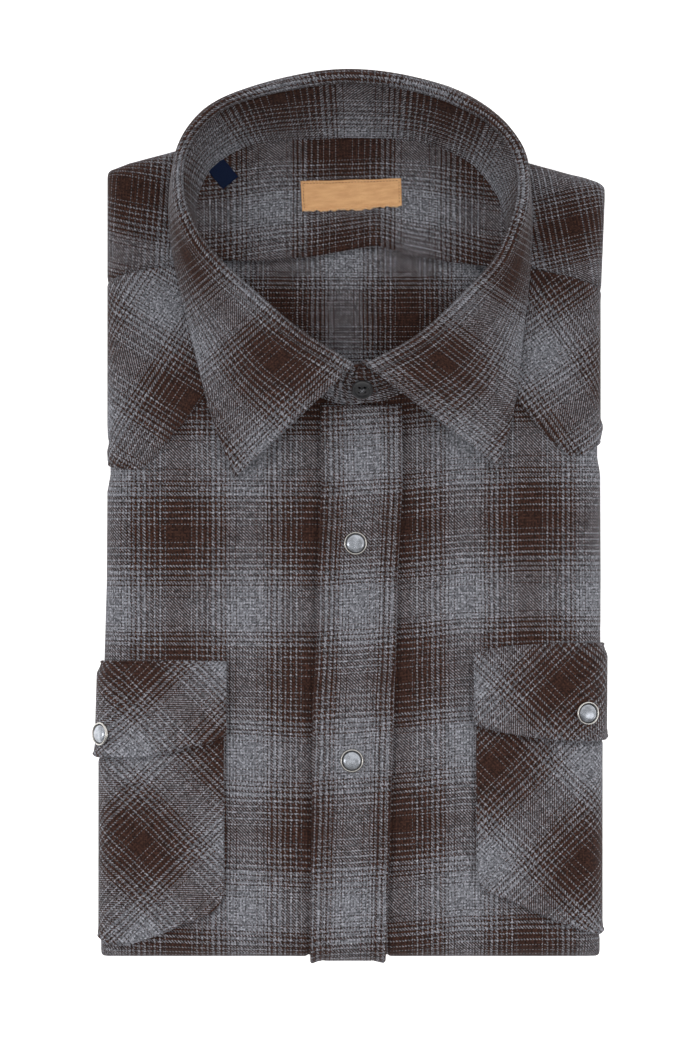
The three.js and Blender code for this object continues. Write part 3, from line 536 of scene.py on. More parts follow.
front_rows = np.concatenate([np.linspace(0, 0.05, 8)[:-1], np.linspace(0.05, 0.23, 64)[:-1], np.linspace(0.23, 1, 118)])
right_columns = np.concatenate([
    np.linspace(FIRST, -60.5, 34)[:-1], np.linspace(-60.5, -54.5, 13)[:-1], np.linspace(-54.5, -22, 17)[:-1],
    np.linspace(-22, -12, 21)[:-1], np.linspace(-12, -4, 5)])
left_columns = np.concatenate([
    np.linspace(-4 + GAP, 15, 10)[:-1], np.linspace(15, 27, 25)[:-1], np.linspace(27, 54.5, 14)[:-1],
    np.linspace(54.5, 60.5, 13)[:-1], np.linspace(60.5, LAST, 35)])
front_right = panel(
    "front_right_cloth", right_columns, lambda x: np.full_like(x, LOW_END),
    lambda x: np.minimum(right_yoke_edge(x) + 6, neck_front(x)), on_front, CLOTH,
    straight_grain(-80.8, -79.5, 0.985, 0.99, right_slant), "front_right", fine=((), ()), soften=beside_pieces,
    rows=front_rows)
front_left = panel(
    "front_left_cloth", left_columns, lambda x: np.full_like(x, LOW_END),
    lambda x: np.minimum(left_yoke_edge(x) + 6, neck_front(x)), on_front, CLOTH,
    straight_grain(84.4, -74.2, 1.03, 1.0, left_slant), "front_left", fine=((), ()), soften=beside_pieces,
    rows=front_rows)


# Front yokes
# Pointed western yokes of one layer of flannel, cut on the bias. Their pointed edge is folded under and stitched to the
# front, and above it they sink to the front's own level.
SHOULDER_SEAM = np.array([
    (-150, 101), (-113.9, 110.9), (-102.2, 114.7), (-83.7, 118.0), (-62, 122.7), (-52, 150), (54, 150), (64, 117.0),
    (84.8, 116.1), (103.6, 112.3), (117.5, 107.6), (150, 97),
])
shoulder_seam = curve_at(SHOULDER_SEAM)


def stitches(name, rows, look, step=2.5, length=1.9, radius=0.17):
    """Thread that dips in and out of the cloth. Each row is a line of points on the cloth and its outward directions."""
    turns = np.linspace(0, 2 * math.pi, 5, endpoint=False)
    rise = radius * np.array([-1.3, 0.35, 0.75, 0.35, -1.3])
    points = []
    for line, outward in rows:
        run = np.concatenate([[0], np.cumsum(np.linalg.norm(np.diff(line, axis=0), axis=1))])
        for start in np.arange(0.3, run[-1] - length, step):
            at = start + length * np.linspace(0, 1, 5)
            centre = np.column_stack([np.interp(at, run, line[:, k]) for k in range(3)])
            up = np.column_stack([np.interp(at, run, outward[:, k]) for k in range(3)])
            up /= np.linalg.norm(up, axis=1, keepdims=True)
            side = np.cross(np.gradient(centre, axis=0), up)
            side /= np.linalg.norm(side, axis=1, keepdims=True)
            centre = centre + up * rise[:, None]
            for spot, above, beside in zip(centre, up, side):
                points.append(spot + radius * (np.cos(turns)[:, None] * above + np.sin(turns)[:, None] * beside))
    points = np.array(points).reshape(-1, 5, 5, 3)
    faces = []
    for number in range(len(points)):
        first = number * 25
        for ring in range(4):
            for k in range(5):
                a = first + ring * 5 + k
                b = first + ring * 5 + (k + 1) % 5
                faces.append([a, b, b + 5, a + 5])
        faces.append([first + k for k in range(4, -1, -1)])
        faces.append([first + 20 + k for k in range(5)])
    flat = points.reshape(-1, 3)[:, :2]
    return piece(name, points.reshape(-1, 3), faces, flat, None, look)


def on_face(across, along, lift):
    """Points on the shirt's face at a height, with their outward directions."""
    points = place(across, along, lift)
    return points, place(across, along, np.asarray(lift) + 1.0) - points


def spun_thread():
    nodes = Nodes("thread")
    nodes.shader.inputs["Base Color"].default_value = (0.03, 0.019, 0.017, 1)
    u, v = nodes.cloth_place()
    nodes.bump(nodes.noise(nodes.join(u, v), 6.0), 0.4, 0.0001)
    nodes.set(Roughness=0.8, Specular_IOR_Level=0.2)
    return nodes.material


thread = spun_thread()


def yoke_lift(across, along, from_low, from_high):
    return GAP - (CLOTH + GAP) * smooth(from_low, 7, 12)


def yoke_edge(across, along, from_low, from_high):
    return sewn_edge(from_low, across * 1.4) - 0.5 * np.exp(-(from_high / 0.7) ** 2)


front_yoke_right = panel(
    "front_yoke_right_cloth", steps_between(FIRST, -52, GRID), right_yoke_edge,
    lambda x: np.minimum(shoulder_seam(x) - 0.1, neck_front(x)), yoke_lift, CLOTH,
    turned_grain((-76.1, 53.6), 57, -33), "front_yoke_right", soften=yoke_edge)
front_yoke_left = panel(
    "front_yoke_left_cloth", steps_between(56, LAST, GRID), left_yoke_edge,
    lambda x: np.minimum(shoulder_seam(x) - 0.1, neck_front(x)), yoke_lift, CLOTH,
    turned_grain((99.9, 121.1), -55, 35), "front_yoke_left", soften=yoke_edge)
right_run = np.linspace(FIRST + 4, -38, 200)
left_run = np.linspace(42, LAST - 4, 200)
stitches("front_yoke_stitches", [
    on_face(right_run, right_yoke_edge(right_run) + 1.7, np.full(200, GAP + CLOTH - 0.3)),
    on_face(left_run, left_yoke_edge(left_run) + 1.7, np.full(200, GAP + CLOTH - 0.3)),
], thread)


# Back yoke
# The outer yoke, one piece of flannel cut along the shoulders. It goes round the back of the neck, over both shoulders
# to the shoulder seams, and over the shoulder folds to the underside.
def yoke_grain(across, along):
    row = np.interp(across, [-118, -107, -75, 75, 95, 118], [156.2, 154.0, 147.6, 179.0, 183.8, 189.3])
    stretch = np.interp(across, [-60, 70], [1.0, 1.25])
    lean = np.interp(across, [-80, 90], [-0.07, 0.2])
    return np.stack([(along - row) * stretch, across + 107.2 + lean * (along - 150)], -1)


def back_yoke_edge(across, along, from_low, from_high):
    return -0.5 * np.exp(-(from_low / 0.7) ** 2) - 0.3 * np.exp(-((from_low - 1.7) / 0.55) ** 2)


def back_yoke_top(x):
    return shoulder_at(x) + TOP_WRAP


def back_yoke_sheet():
    """The back yoke leaves the neckline free: its rows start at the shoulder seam or at the neckline behind it."""
    columns = steps_between(FIRST, LAST, GRID)
    start = shoulder_seam(columns) + 0.1
    outline = neck_line[:, :2]
    behind = outline[outline[:, 1] > 128]
    order = np.argsort(behind[:, 0])
    neck = np.interp(columns, behind[order, 0], behind[order, 1], left=0, right=0)
    low = np.maximum(start, neck + 0.5)
    high = back_yoke_top(columns)
    rows = np.linspace(0, 1, 46)
    along = low[None] + (high - low)[None] * rows[:, None]
    across = np.broadcast_to(columns[None], along.shape)
    top = back_yoke_edge(across, along, along - low, None)
    return shell("back_yoke_cloth", place(across, along, -CLOTH), place(across, along, top), yoke_grain(across, along),
                 "back_yoke")


back_yoke = back_yoke_sheet()
right_run = np.linspace(FIRST + 4, -74, 120)
left_run = np.linspace(76, LAST - 4, 120)
stitches("back_yoke_stitches", [
    on_face(right_run, shoulder_seam(right_run) + 1.8, np.full(120, -0.3)),
    on_face(left_run, shoulder_seam(left_run) + 1.8, np.full(120, -0.3)),
], thread)


# Collar
# A stiffened stand, whose front ends overlap and button, with a leaf that folds down over it. Both are doubled flannel
# with interlining. The stand is sewn to the neckline between the outer and the inner yoke.
def normals_of(grid):
    lengthwise = np.gradient(grid, axis=1)
    sideways = np.gradient(grid, axis=0)
    normal = np.cross(lengthwise, sideways)
    return normal / np.maximum(np.linalg.norm(normal, axis=-1, keepdims=True), 1e-9)


stand_rows = [UNDER_END, *COLLAR, OVER_END]
STAND_COUNT = 260
stand_shares = np.linspace(0, 1, STAND_COUNT)
stand_top_line = curve_points([row[0] for row in stand_rows], stand_shares) - [0, 0, 6]
stand_seam_line = curve_points(seam_points(stand_rows), stand_shares)
stand_length = np.concatenate([[0], np.cumsum(np.linalg.norm(np.diff(stand_top_line, axis=0), axis=1))])
up = np.array([0, 0.01, 0.03, 0.06, 0.1, 0.15, 0.22, 0.3, 0.38, 0.46, 0.54, 0.62, 0.7, 0.78, 0.86, 0.93, 1.0])[:, None, None]
stand_centre = stand_seam_line[None] * (1 - up) + stand_top_line[None] * up
stand_out = normals_of(stand_centre)
stand_height = np.linalg.norm(stand_top_line - stand_seam_line, axis=1)
wrinkle = 0.22 * puckers(stand_length * 0.9, 1.3)[None] * np.exp(-(up[:, :, 0] * stand_height[None] / 5) ** 2)
stand_centre = stand_centre + stand_out * wrinkle[..., None]
stand_flat = np.stack(np.broadcast_arrays(10.0 - up[:, :, 0] * stand_height[None] + 18.0,
                                          (0.85 * (stand_length - stand_length[STAND_COUNT // 2]) + 35.0)[None]), -1)
collar_stand = shell("collar_stand_cloth", stand_centre - stand_out * STAND_CLOTH / 2,
                     stand_centre + stand_out * STAND_CLOTH / 2, stand_flat, "collar_stand")

LEAF_COUNT = 300
leaf_shares = np.linspace(0, 1, LEAF_COUNT)
roll_line = curve_points([row[0] for row in COLLAR], leaf_shares)
edge_line = curve_points([row[1] for row in COLLAR], leaf_shares)
roll_length = np.concatenate([[0], np.cumsum(np.linalg.norm(np.diff(roll_line, axis=0), axis=1))])
outward = (edge_line - roll_line) * [1, 1, 0]
outward /= np.linalg.norm(outward, axis=1, keepdims=True)
hub = roll_line + outward * 2.6 - [0, 0, 2.6]
leaf_rows = [roll_line - [0, 0, 3.8], roll_line - [0, 0, 3.2]]
for turn in (180, 160, 140, 120, 100, 80, 60, 40, 25, 10):
    angle = math.radians(turn)
    leaf_rows.append(hub + outward * 2.6 * math.cos(angle) + [0, 0, 2.6 * math.sin(angle)])
fall_start = leaf_rows[-1]
fall_steps = np.concatenate([np.linspace(0.03, 0.92, 26), [0.935, 0.95, 0.963, 0.975, 0.985, 0.993, 0.998, 1.0]])
for share in fall_steps:
    leaf_rows.append(fall_start + (edge_line - fall_start) * share + [0, 0, 2.2 * math.sin(math.pi * share)])
leaf_centre = np.array(leaf_rows)
leaf_out = normals_of(leaf_centre)
leaf_fall = np.linalg.norm(edge_line - fall_start, axis=1)
leaf_depth = np.concatenate([[0], np.linalg.norm(np.diff(leaf_centre, axis=0), axis=2).mean(axis=1).cumsum()])
even_depth = np.concatenate([[np.zeros(LEAF_COUNT)], np.linalg.norm(np.diff(leaf_centre, axis=0), axis=2).cumsum(axis=0)])
depth_share = leaf_depth / leaf_depth[-1]
leaf_u = 0.5 * even_depth + 0.5 * depth_share[:, None] * 62.0
leaf_v = np.interp(roll_length, [0, 26, 92, 159, 226, 293, 360, roll_length[-1] - 26, roll_length[-1]],
                   [-28, 0, 70, 140, 210, 280, 350, 420, 448])
leaf_flat = np.stack([leaf_u - 22.0, np.broadcast_to(leaf_v, leaf_u.shape)], -1)
to_edge = even_depth[-1] - even_depth
end_distance = np.minimum(roll_length, roll_length[-1] - roll_length)
thin = np.exp(-(to_edge / 0.5) ** 2) * 0.6
groove = 0.3 * np.exp(-((to_edge - 5.0) / 0.6) ** 2)
roll_groove = 0.22 * np.exp(-((even_depth - 15.0) / 0.7) ** 2)
ripples = 0.12 * puckers(roll_length * 0.8, 0.7)[None] * np.exp(-((to_edge - 5.0) / 4.0) ** 2)
half_leaf = LEAF_CLOTH / 2 * (1 - thin)
collar_leaf = shell("collar_leaf_cloth", leaf_centre - leaf_out * half_leaf[..., None],
                    leaf_centre + leaf_out * (half_leaf - groove - roll_groove + ripples)[..., None], leaf_flat,
                    "collar_leaf")


def leaf_row(depth_from_edge, first, last):
    """A line on the leaf's outer side, at a distance from its edge."""
    line = []
    outward = []
    for column in range(first, last):
        row = np.interp(-depth_from_edge, -to_edge[:, column], np.arange(len(to_edge)))
        low_row = int(row)
        share = row - low_row
        high_row = min(low_row + 1, len(to_edge) - 1)
        centre = leaf_centre[low_row, column] * (1 - share) + leaf_centre[high_row, column] * share
        normal = leaf_out[low_row, column] * (1 - share) + leaf_out[high_row, column] * share
        line.append(centre + normal * (LEAF_CLOTH / 2 - 0.22))
        outward.append(normal)
    return np.array(line), np.array(outward)


stitches("collar_stitches", [leaf_row(5.0, 6, LEAF_COUNT - 6)], thread)

# Neck opening
# What shows inside the collar: the inner side of the back, and over it the inner layer of the yoke, with its lower edge
# pulled wavy by its seam. Both are one layer of the same flannel, and meet the stand at the neck seam.
INSIDE_YOKE_EDGE = np.array([
    (-75, 119.8), (-60.6, 119.8), (-38.5, 119.8), (-17.4, 121.7), (-5.2, 124.1), (13.2, 127.4), (26.3, 122.7),
    (49.3, 118.9), (75, 116.0),
])
inside_yoke_edge = curve_at(INSIDE_YOKE_EDGE, 4.0)
BACK_LEVEL = 7.9
YOKE_LEVEL = 9.4


# Each fold of the inner yoke: across, along, turn, length, width, height.
INSIDE_CREASES = [
    (26, 134, -16, 20, 7, 1.6), (3, 131, 14, 22, 6, -1.2), (-24, 134, 6, 26, 7, 1.1), (-55, 146, 68, 18, 4.5, -1.1),
    (-46, 156, 60, 20, 5, 1.0), (50, 148, -36, 24, 5, -1.1), (43, 158, -30, 22, 6, 1.0), (-12, 166, 8, 20, 4, 0.5),
    (60, 128, -20, 16, 5, 0.9), (-62, 126, 15, 14, 4, 0.7), (12, 143, 4, 30, 4, -0.5),
]


def yoke_height(x, y):
    """The inner yoke's underside, which rises from the neck opening's floor to pass under the stand's seam."""
    meeting = around_neck(x, y, neck_line[:, 2]) - 1.5
    nearness = np.hypot(x / 72, (y - NECK_MIDDLE) / 60)
    slope = YOKE_LEVEL + 2.6 * smooth(nearness, 0.6, 1.0)
    inside = inside_neck(x, y)
    folds = relief_of(INSIDE_CREASES, x, y) * smooth(inside, 1, 9) * smooth(y - inside_yoke_edge(x), -2, 6)
    return slope + (meeting - slope) * (1 - smooth(inside, 0.5, 13)) ** 1.5 + folds


def inside_back_sheet():
    y = np.concatenate([np.linspace(57, 112, 28)[:-1], np.linspace(112, 131, 34)])
    left = np.array([outline_side(v, -1) for v in y])
    right = np.array([outline_side(v, 1) for v in y])
    share = np.linspace(0, 1, 60)
    x = left[:, None] + (right - left)[:, None] * share[None]
    grid_y = np.broadcast_to(y[:, None], x.shape)
    z = BACK_LEVEL + 0.25 * np.sin(x / 9.0 + 1) * np.sin(grid_y / 13.0)
    under = np.stack([x, grid_y, z], -1)
    flat = np.stack([(x - 27) * 1.05, (grid_y - 92) * 1.2], -1)
    over = under + [0, 0, CLOTH]
    over[..., 2] += sunk(inside_yoke_edge(x) - grid_y)
    return shell("inside_back_cloth", under, over, flat, "inside_back")


def outline_side(y, side):
    """The neckline's place across the shirt, on one side, at a place along it."""
    outline = neck_line[:, :2]
    middle = np.argmin(np.abs(np.arange(len(outline)) - len(outline) / 2))
    half = outline[: middle + 1] if side < 0 else outline[middle:][::-1]
    order = np.argsort(half[:, 1])
    edge = np.interp(y, half[order, 1], half[order, 0])
    return side * max(abs(edge) - 1.9, 1.0)


inside_back = inside_back_sheet()


def inside_yoke_sheet():
    """The sheet fans out from its lower edge to the neck seam, and ends under the stand."""
    behind = neck_line[neck_line[:, 1] > inside_yoke_edge(neck_line[:, 0]) + 0.5]
    direction = np.gradient(behind[:, :2], axis=0)
    direction /= np.linalg.norm(direction, axis=1, keepdims=True)
    behind = behind[:, :2] + 0.3 * np.column_stack([direction[:, 1], -direction[:, 0]])
    share = np.linspace(0, 1, 150)
    run = np.concatenate([[0], np.cumsum(np.linalg.norm(np.diff(behind, axis=0), axis=1))])
    high = np.column_stack([np.interp(share * run[-1], run, behind[:, k]) for k in range(2)])
    low_x = high[0, 0] + (high[-1, 0] - high[0, 0]) * (0.5 - 0.5 * np.cos(math.pi * share))
    low = np.column_stack([low_x, inside_yoke_edge(low_x)])
    rows = np.concatenate([np.array([0, 0.25, 0.6, 1.0, 1.5, 2.2]) / 60, np.linspace(0.06, 1, 44)])[:, None, None]
    grid = low[None] * (1 - rows) + high[None] * rows
    x = grid[..., 0]
    y = grid[..., 1]
    from_low = y - inside_yoke_edge(x)
    lip = 1.5 * np.exp(-(from_low / 6) ** 2) * (0.4 + 0.6 * np.sin(x / 8.5 + 0.6) ** 2)
    z = yoke_height(x, y) + lip
    under = np.stack([x, y, z], -1)
    hem = 0.5 * np.exp(-(from_low / 0.5) ** 2) + 0.3 * np.exp(-((from_low - 2.2) / 0.5) ** 2)
    over = np.stack([x, y, z + CLOTH - hem], -1)
    bow = (inside_yoke_edge(x) - 121.5) * (1 - 0.8 * smooth(from_low, 0, 40)) - 4.5 * smooth(np.abs(x), 30, 74)
    flat = np.stack([(y - bow - 171.6) * 1.2, x + 3.0], -1)
    return shell("inside_back_yoke_cloth", under, over, flat, "inside_back_yoke")


inside_back_yoke = inside_yoke_sheet()


# Placket
# The stiffened strip that carries the snaps, folded from flannel and stitched down both sides on the left front's edge.
# It runs from under the collar round the bottom fold, and leans a little to the side towards its top.
PLACKET_CLOTH = 2.0
PLACKET_TOP = 51.6


def placket_strip():
    along = np.linspace(LOW_END, PLACKET_TOP, 150)
    right = np.interp(along, PLACKET_SIDES[:, 0], PLACKET_SIDES[:, 1])
    left = np.interp(along, PLACKET_SIDES[:, 0], PLACKET_SIDES[:, 2])
    for line in (right, left):
        line[2:-2] = (line[:-4] + line[1:-3] + line[2:-2] + line[3:-1] + line[4:]) / 5
    half = (left - right) / 2
    offsets = np.array([0, 0.25, 0.6, 1.0, 1.6, 2.4, 3.4, 4.6, 5.4, 6.0, 6.6, 7.4, 9.0, 11.0, 13.0, 15.0])
    inner = np.array([*offsets, *(37.5 - offsets)[::-1]]) / 37.5
    across = right[:, None] + (left - right)[:, None] * inner[None]
    grid_along = np.broadcast_to(along[:, None], across.shape)
    from_side = np.minimum(across - right[:, None], left[:, None] - across)
    top = GAP + PLACKET_CLOTH + sewn_edge(from_side, grid_along, stitch=6.0, seed=2.0)
    top = top - 0.45 * np.exp(-((grid_along - 38.3) / 0.9) ** 2)
    top = top - 0.5 * np.exp(-((across - 6.8) ** 2 + (grid_along - 34) ** 2) / 5)
    top = top + 0.35 * np.exp(-((from_side - 2.6) / 2.4) ** 2) * (0.5 + 0.5 * np.sin(grid_along / 17.0 + across / 9.0))
    middle = ((right + left) / 2)[:, None]
    flat = np.stack([across - middle + 30.7, grid_along + 8.0 - 0.06 * (across - 5.6)], -1)
    curl = flared(from_side, grid_along * 0.7 + across, 1.9)
    return shell("placket_cloth", place(across, grid_along, GAP + curl), place(across, grid_along, top + curl), flat,
                 "placket")


placket = placket_strip()
placket_run = np.linspace(LOW_END + 3, 50, 400)
placket_right = np.interp(placket_run, PLACKET_SIDES[:, 0], PLACKET_SIDES[:, 1])
placket_left = np.interp(placket_run, PLACKET_SIDES[:, 0], PLACKET_SIDES[:, 2])
stitches("placket_stitches", [
    on_face(placket_right + 6.0, placket_run, np.full(400, GAP + PLACKET_CLOTH - 0.2)),
    on_face(placket_left - 6.0, placket_run, np.full(400, GAP + PLACKET_CLOTH - 0.2)),
], thread)


# Pockets
# Pointed patch pockets of one layer of flannel, cut on the bias, their edges folded under and stitched to the fronts.
# The fold at the shirt's side runs through both, so that their outer halves go round it.


RIGHT_FLAP = np.array([
    (-160, -104), (-118.4, -114.0), (-101, -114.3), (-87.4, -112.3), (-77.5, -109.5), (-67.7, -107.6), (-58, -103.6),
])
LEFT_FLAP = np.array([
    (58.2, -97.6), (61, -99.6), (73.3, -102.5), (88.4, -104.8), (103.2, -106.3), (118.9, -105.8), (160, -96),
])


def flat_on_front(across, along, from_low, from_high):
    return np.full_like(across, GAP)


def pocket(name, node, columns, inner, lower, upper, flap_edge, grain, seed):
    """A pocket with a stitched inner side and lower edge, which sinks a little along the flap's edge over it."""
    def edges(across, along, from_low, from_high):
        from_side = np.abs(across - inner)
        nearest = np.minimum(from_low, from_side)
        return sewn_edge(nearest, across + along, seed=seed) + sunk(flap_edge(across) - along)

    def curl(across, along, from_low, from_high):
        return flared(np.minimum(from_low, np.abs(across - inner)), across + along, 1.3)
    rows = np.concatenate([np.linspace(0, 0.68, 44)[:-1], np.linspace(0.68, 0.9, 42)[:-1], np.linspace(0.9, 1, 6)])
    return panel(name, columns, lower, upper, flat_on_front, CLOTH, grain, node, soften=edges, flare=curl, rows=rows)


pocket_right = pocket(
    "pocket_right_cloth", "pocket_right", steps_between(FIRST, -59.2, GRID, (), EDGE_STEPS), -59.2,
    curve_at(RIGHT_POCKET), lambda x: np.full_like(x, -78.0), curve_at(RIGHT_FLAP),
    turned_grain((-98.2, -154.6), 45, 135), 0.4)
pocket_left = pocket(
    "pocket_left_cloth", "pocket_left", steps_between(59.2, LAST, GRID, EDGE_STEPS, ()), 59.2,
    curve_at(LEFT_POCKET), lambda x: np.full_like(x, -72.0), curve_at(LEFT_FLAP),
    turned_grain((66.7, -117.5), -45, 45), 1.9)


def patch_rows(inner, outer, lower, upper, lift):
    """The rows of stitches down a patch's inner side and along its lower edge."""
    inset = 1.7 if outer > inner else -1.7
    down = np.linspace(upper, float(lower(np.array([inner + inset]))[0]) + 1.7, 160)
    run = np.linspace(inner + inset, outer, 160)
    return [on_face(np.full(160, inner + inset), down, np.full(160, lift)),
            on_face(run, lower(run) + 1.7, np.full(160, lift))]


stitches("pocket_stitches", [
    *patch_rows(-59.2, FIRST + 4, curve_at(RIGHT_POCKET), -104, GAP + CLOTH - 0.3),
    *patch_rows(59.2, LAST - 4, curve_at(LEFT_POCKET), -98, GAP + CLOTH - 0.3),
], thread)


# Pocket flaps
# Flaps of doubled flannel, cut on the bias, turned and stitched round, then sewn to the front above the pocket. They
# lap over the pocket's top and are held down by a snap near the shirt's side fold.
DOUBLE_CLOTH = 1.7
ON_POCKET = 1.8
RIGHT_FLAP_TOP = np.array([(-160, -68.4), (-58, -68.6)])
LEFT_FLAP_TOP = np.array([(58.2, -65), (73.3, -61.6), (93.1, -60.2), (160, -59.7)])


def flap_lift(across, along, from_low, from_high):
    return GAP + (ON_POCKET - GAP) * smooth(from_high, 2, 6.5)


def flap(name, node, columns, inner, lower, upper, grain, seed):
    def edges(across, along, from_low, from_high):
        nearest = np.minimum(np.minimum(from_low, np.abs(across - inner)), from_high + 0.15)
        return sewn_edge(nearest, across + along, seed=seed)

    def curl(across, along, from_low, from_high):
        return flared(np.minimum(from_low, np.abs(across - inner)), across + along, 2.1)
    return panel(name, columns, lower, upper, flap_lift, DOUBLE_CLOTH, grain, node, soften=edges, flare=curl)


flap_right = flap("flap_right_cloth", "flap_right", steps_between(FIRST, -58.0, GRID, (), EDGE_STEPS), -58.0,
                  curve_at(RIGHT_FLAP), curve_at(RIGHT_FLAP_TOP), turned_grain((-103.0, -66.0), 45, 135), 0.9)
flap_left = flap("flap_left_cloth", "flap_left", steps_between(58.2, LAST, GRID, EDGE_STEPS, ()), 58.2,
                 curve_at(LEFT_FLAP), curve_at(LEFT_FLAP_TOP), turned_grain((99.6, -79.4), -45, 45), 2.6)
right_run = np.linspace(FIRST + 4, -60, 160)
left_run = np.linspace(60, LAST - 4, 160)
stitches("flap_stitches", [
    *patch_rows(-58.0, FIRST + 4, curve_at(RIGHT_FLAP), -74.0, ON_POCKET + DOUBLE_CLOTH - 0.3),
    *patch_rows(58.2, LAST - 4, curve_at(LEFT_FLAP), -68.0, ON_POCKET + DOUBLE_CLOTH - 0.3),
    on_face(right_run, curve_at(RIGHT_FLAP_TOP)(right_run) - 1.85, np.full(160, GAP + DOUBLE_CLOTH - 0.3)),
    on_face(left_run, curve_at(LEFT_FLAP_TOP)(left_run) - 1.85, np.full(160, GAP + DOUBLE_CLOTH - 0.3)),
], thread)


# Folded layers
# The back, both sleeves and the tail lie folded inside the shirt. At the sides, the shoulders and the bottom their folded
# edges show one over the other, and underneath the back lies flat on the surface.
FOLDED_EDGES = [
    (0.97, 0.80), (0.93, 0.90), (0.86, 1.04), (0.80, 1.06), (0.71, 1.10), (0.62, 1.08), (0.56, 0.95), (0.50, 0.84),
    (0.46, 0.92), (0.38, 1.04), (0.30, 1.08), (0.22, 1.04), (0.18, 0.90), (0.14, 0.98), (0.08, 1.02), (0.03, 0.88),
]


def folded_layers():
    columns = np.concatenate([np.linspace(FIRST, -104, 7), np.linspace(-100, 103, 52), np.linspace(107, LAST, 7)])
    shares = np.linspace(0, 1, 90)
    low = np.full_like(columns, BOTTOM + RIM)
    high = shoulder_at(columns)
    bottom = np.linspace(0, BOTTOM_WRAP, 7)[:, None] + (LOW_END + 0 * columns)[None]
    middle = low[None] + (high - low)[None] * shares[1:-1, None]
    top = (high + TOP_WRAP)[None] - np.linspace(TOP_WRAP, 0, 7)[:, None]
    along = np.concatenate([bottom, middle, top])
    across = np.broadcast_to(columns[None], along.shape)
    points = place(across, along, -CLOTH - GAP - 0.1)
    inside = inside_neck(points[..., 0], points[..., 1]) - 1.0
    well = smooth(inside, 0.0, 1.6)
    depth = (points[..., 2] - 7.4) * well
    points[..., 2] -= depth
    from_middle = points[..., :2] - [0, NECK_MIDDLE]
    inward = -from_middle / np.maximum(np.linalg.norm(from_middle, axis=-1, keepdims=True), 1)
    rows, count = across.shape
    index = np.arange(rows * count).reshape(rows, count)
    border = [*index[0, :-1], *index[:-1, -1], *index[-1, :0:-1], *index[:0:-1, 0]]
    on_side = np.array([*[False] * (count - 1), *[True] * (rows - 1), *[False] * (count - 1), *[True] * (rows - 1)])
    flat = (points[..., :2] + [40, 20] + inward * depth[..., None]).reshape(-1, 2)
    faces = [np.stack([index[:-1, :-1], index[:-1, 1:], index[1:, 1:], index[1:, :-1]], -1).reshape(-1, 4)]
    rim = points.reshape(-1, 3)[border]
    run = np.concatenate([[0], np.cumsum(np.linalg.norm(np.diff(rim[:, :2], axis=0), axis=1))])
    layered = smooth(rim[:, 2], 4.5, 7)
    all_points = [points.reshape(-1, 3)]
    all_flat = [flat]
    ring = np.array(border)
    start = rows * count
    for number, (height, reach) in enumerate([*FOLDED_EDGES, (0.0, 0.65)]):
        uneven = 0.5 * np.sin(run / 31 + height * 9) + 0.4 * np.sin(run / 13.7 + height * 23) + 0.2 * np.sin(run / 5.1 + height * 40)
        end_inset = 0.9 + 3.0 * (1 - height)
        inset = end_inset + (RIM * (1 - reach) + 0.5 * uneven * (0 < height < 0.95) - end_inset) * layered
        shift_x = np.where(on_side, 1.0, np.abs(rim[:, 0]) / 125) * inset
        shift_y = np.where(on_side, np.abs(rim[:, 1]) / 200, 1.0) * end_inset
        next_points = np.column_stack([rim[:, 0] - np.sign(rim[:, 0]) * shift_x,
                                       rim[:, 1] - np.sign(rim[:, 1]) * shift_y, height * rim[:, 2]])
        all_points.append(next_points)
        all_flat.append(np.column_stack([run, np.full_like(run, number * 1.3)]))
        next_ring = start + np.arange(len(ring))
        faces.append(np.stack([np.roll(ring, -1), ring, next_ring, np.roll(next_ring, -1)], -1))
        ring = next_ring
        start += len(ring)
    underside = start
    base = all_points[-1]
    for share in (0.985, 0.93, 0.8, 0.6, 0.4, 0.2, 0.05):
        shrunk = base * [share, share, 1] + [0, -20 * (1 - share), 0]
        all_points.append(shrunk)
        all_flat.append(np.column_stack([shrunk[:, 0] + 40, shrunk[:, 1] + 20]))
        next_ring = start + np.arange(len(ring))
        faces.append(np.stack([np.roll(ring, -1), ring, next_ring, np.roll(next_ring, -1)], -1))
        ring = next_ring
        start += len(ring)
    all_points.append(np.array([[0.0, -20.0, 0.0]]))
    all_flat.append(np.array([[40.0, 0.0]]))
    caps = [[int(a), int(b), start] for a, b in zip(np.roll(ring, -1), ring)]
    every = np.concatenate(faces).tolist() + caps
    return piece("folded_layers_cloth", np.concatenate(all_points), every, np.concatenate(all_flat), "folded_layers")


layers = folded_layers()


# Snaps
# Pearl snaps through the placket and the flaps: a rolled silver ring with a domed cap of grey pearl set in it.
def hard_look(name, colour, roughness, metallic=0.0, coat=0.0, cloudy=0.0, size=400.0):
    nodes = Nodes(name)
    nodes.set(Roughness=roughness, Metallic=metallic, Coat_Weight=coat, Coat_Roughness=0.05)
    coordinates = nodes.tree.nodes.new("ShaderNodeTexCoord")
    veins = nodes.ramp(nodes.noise(coordinates.outputs["Object"], size, 3.0), [(0.35, 0.0), (0.65, 1.0)])
    dim = tuple(c * (1 - cloudy) for c in colour)
    nodes.link(nodes.mix(veins, (*dim, 1), (*colour, 1)), nodes.shader.inputs["Base Color"])
    return nodes.material


silver = hard_look("silver", (0.56, 0.54, 0.51), 0.24, 1.0, 0.0, 0.12)
pearl = hard_look("pearl", (0.4, 0.42, 0.46), 0.24, 0.85, 0.3, 0.5, 260.0)
SNAP_RING = [
    (4.4, 0.0), (5.3, 0.0), (5.5, 0.15), (5.55, 0.5), (5.5, 0.9), (5.36, 1.25), (5.16, 1.46), (5.0, 1.5), (4.86, 1.42),
    (4.72, 1.22), (4.6, 0.95), (4.5, 0.6), (4.42, 0.3),
]
SNAP_CAP = [
    (0.0, 0.1), (4.36, 0.1), (4.36, 0.4), (4.33, 0.68), (4.22, 0.98), (4.0, 1.26), (3.6, 1.52), (3.0, 1.74), (2.2, 1.9),
    (1.2, 2.0), (0.0, 2.03),
]


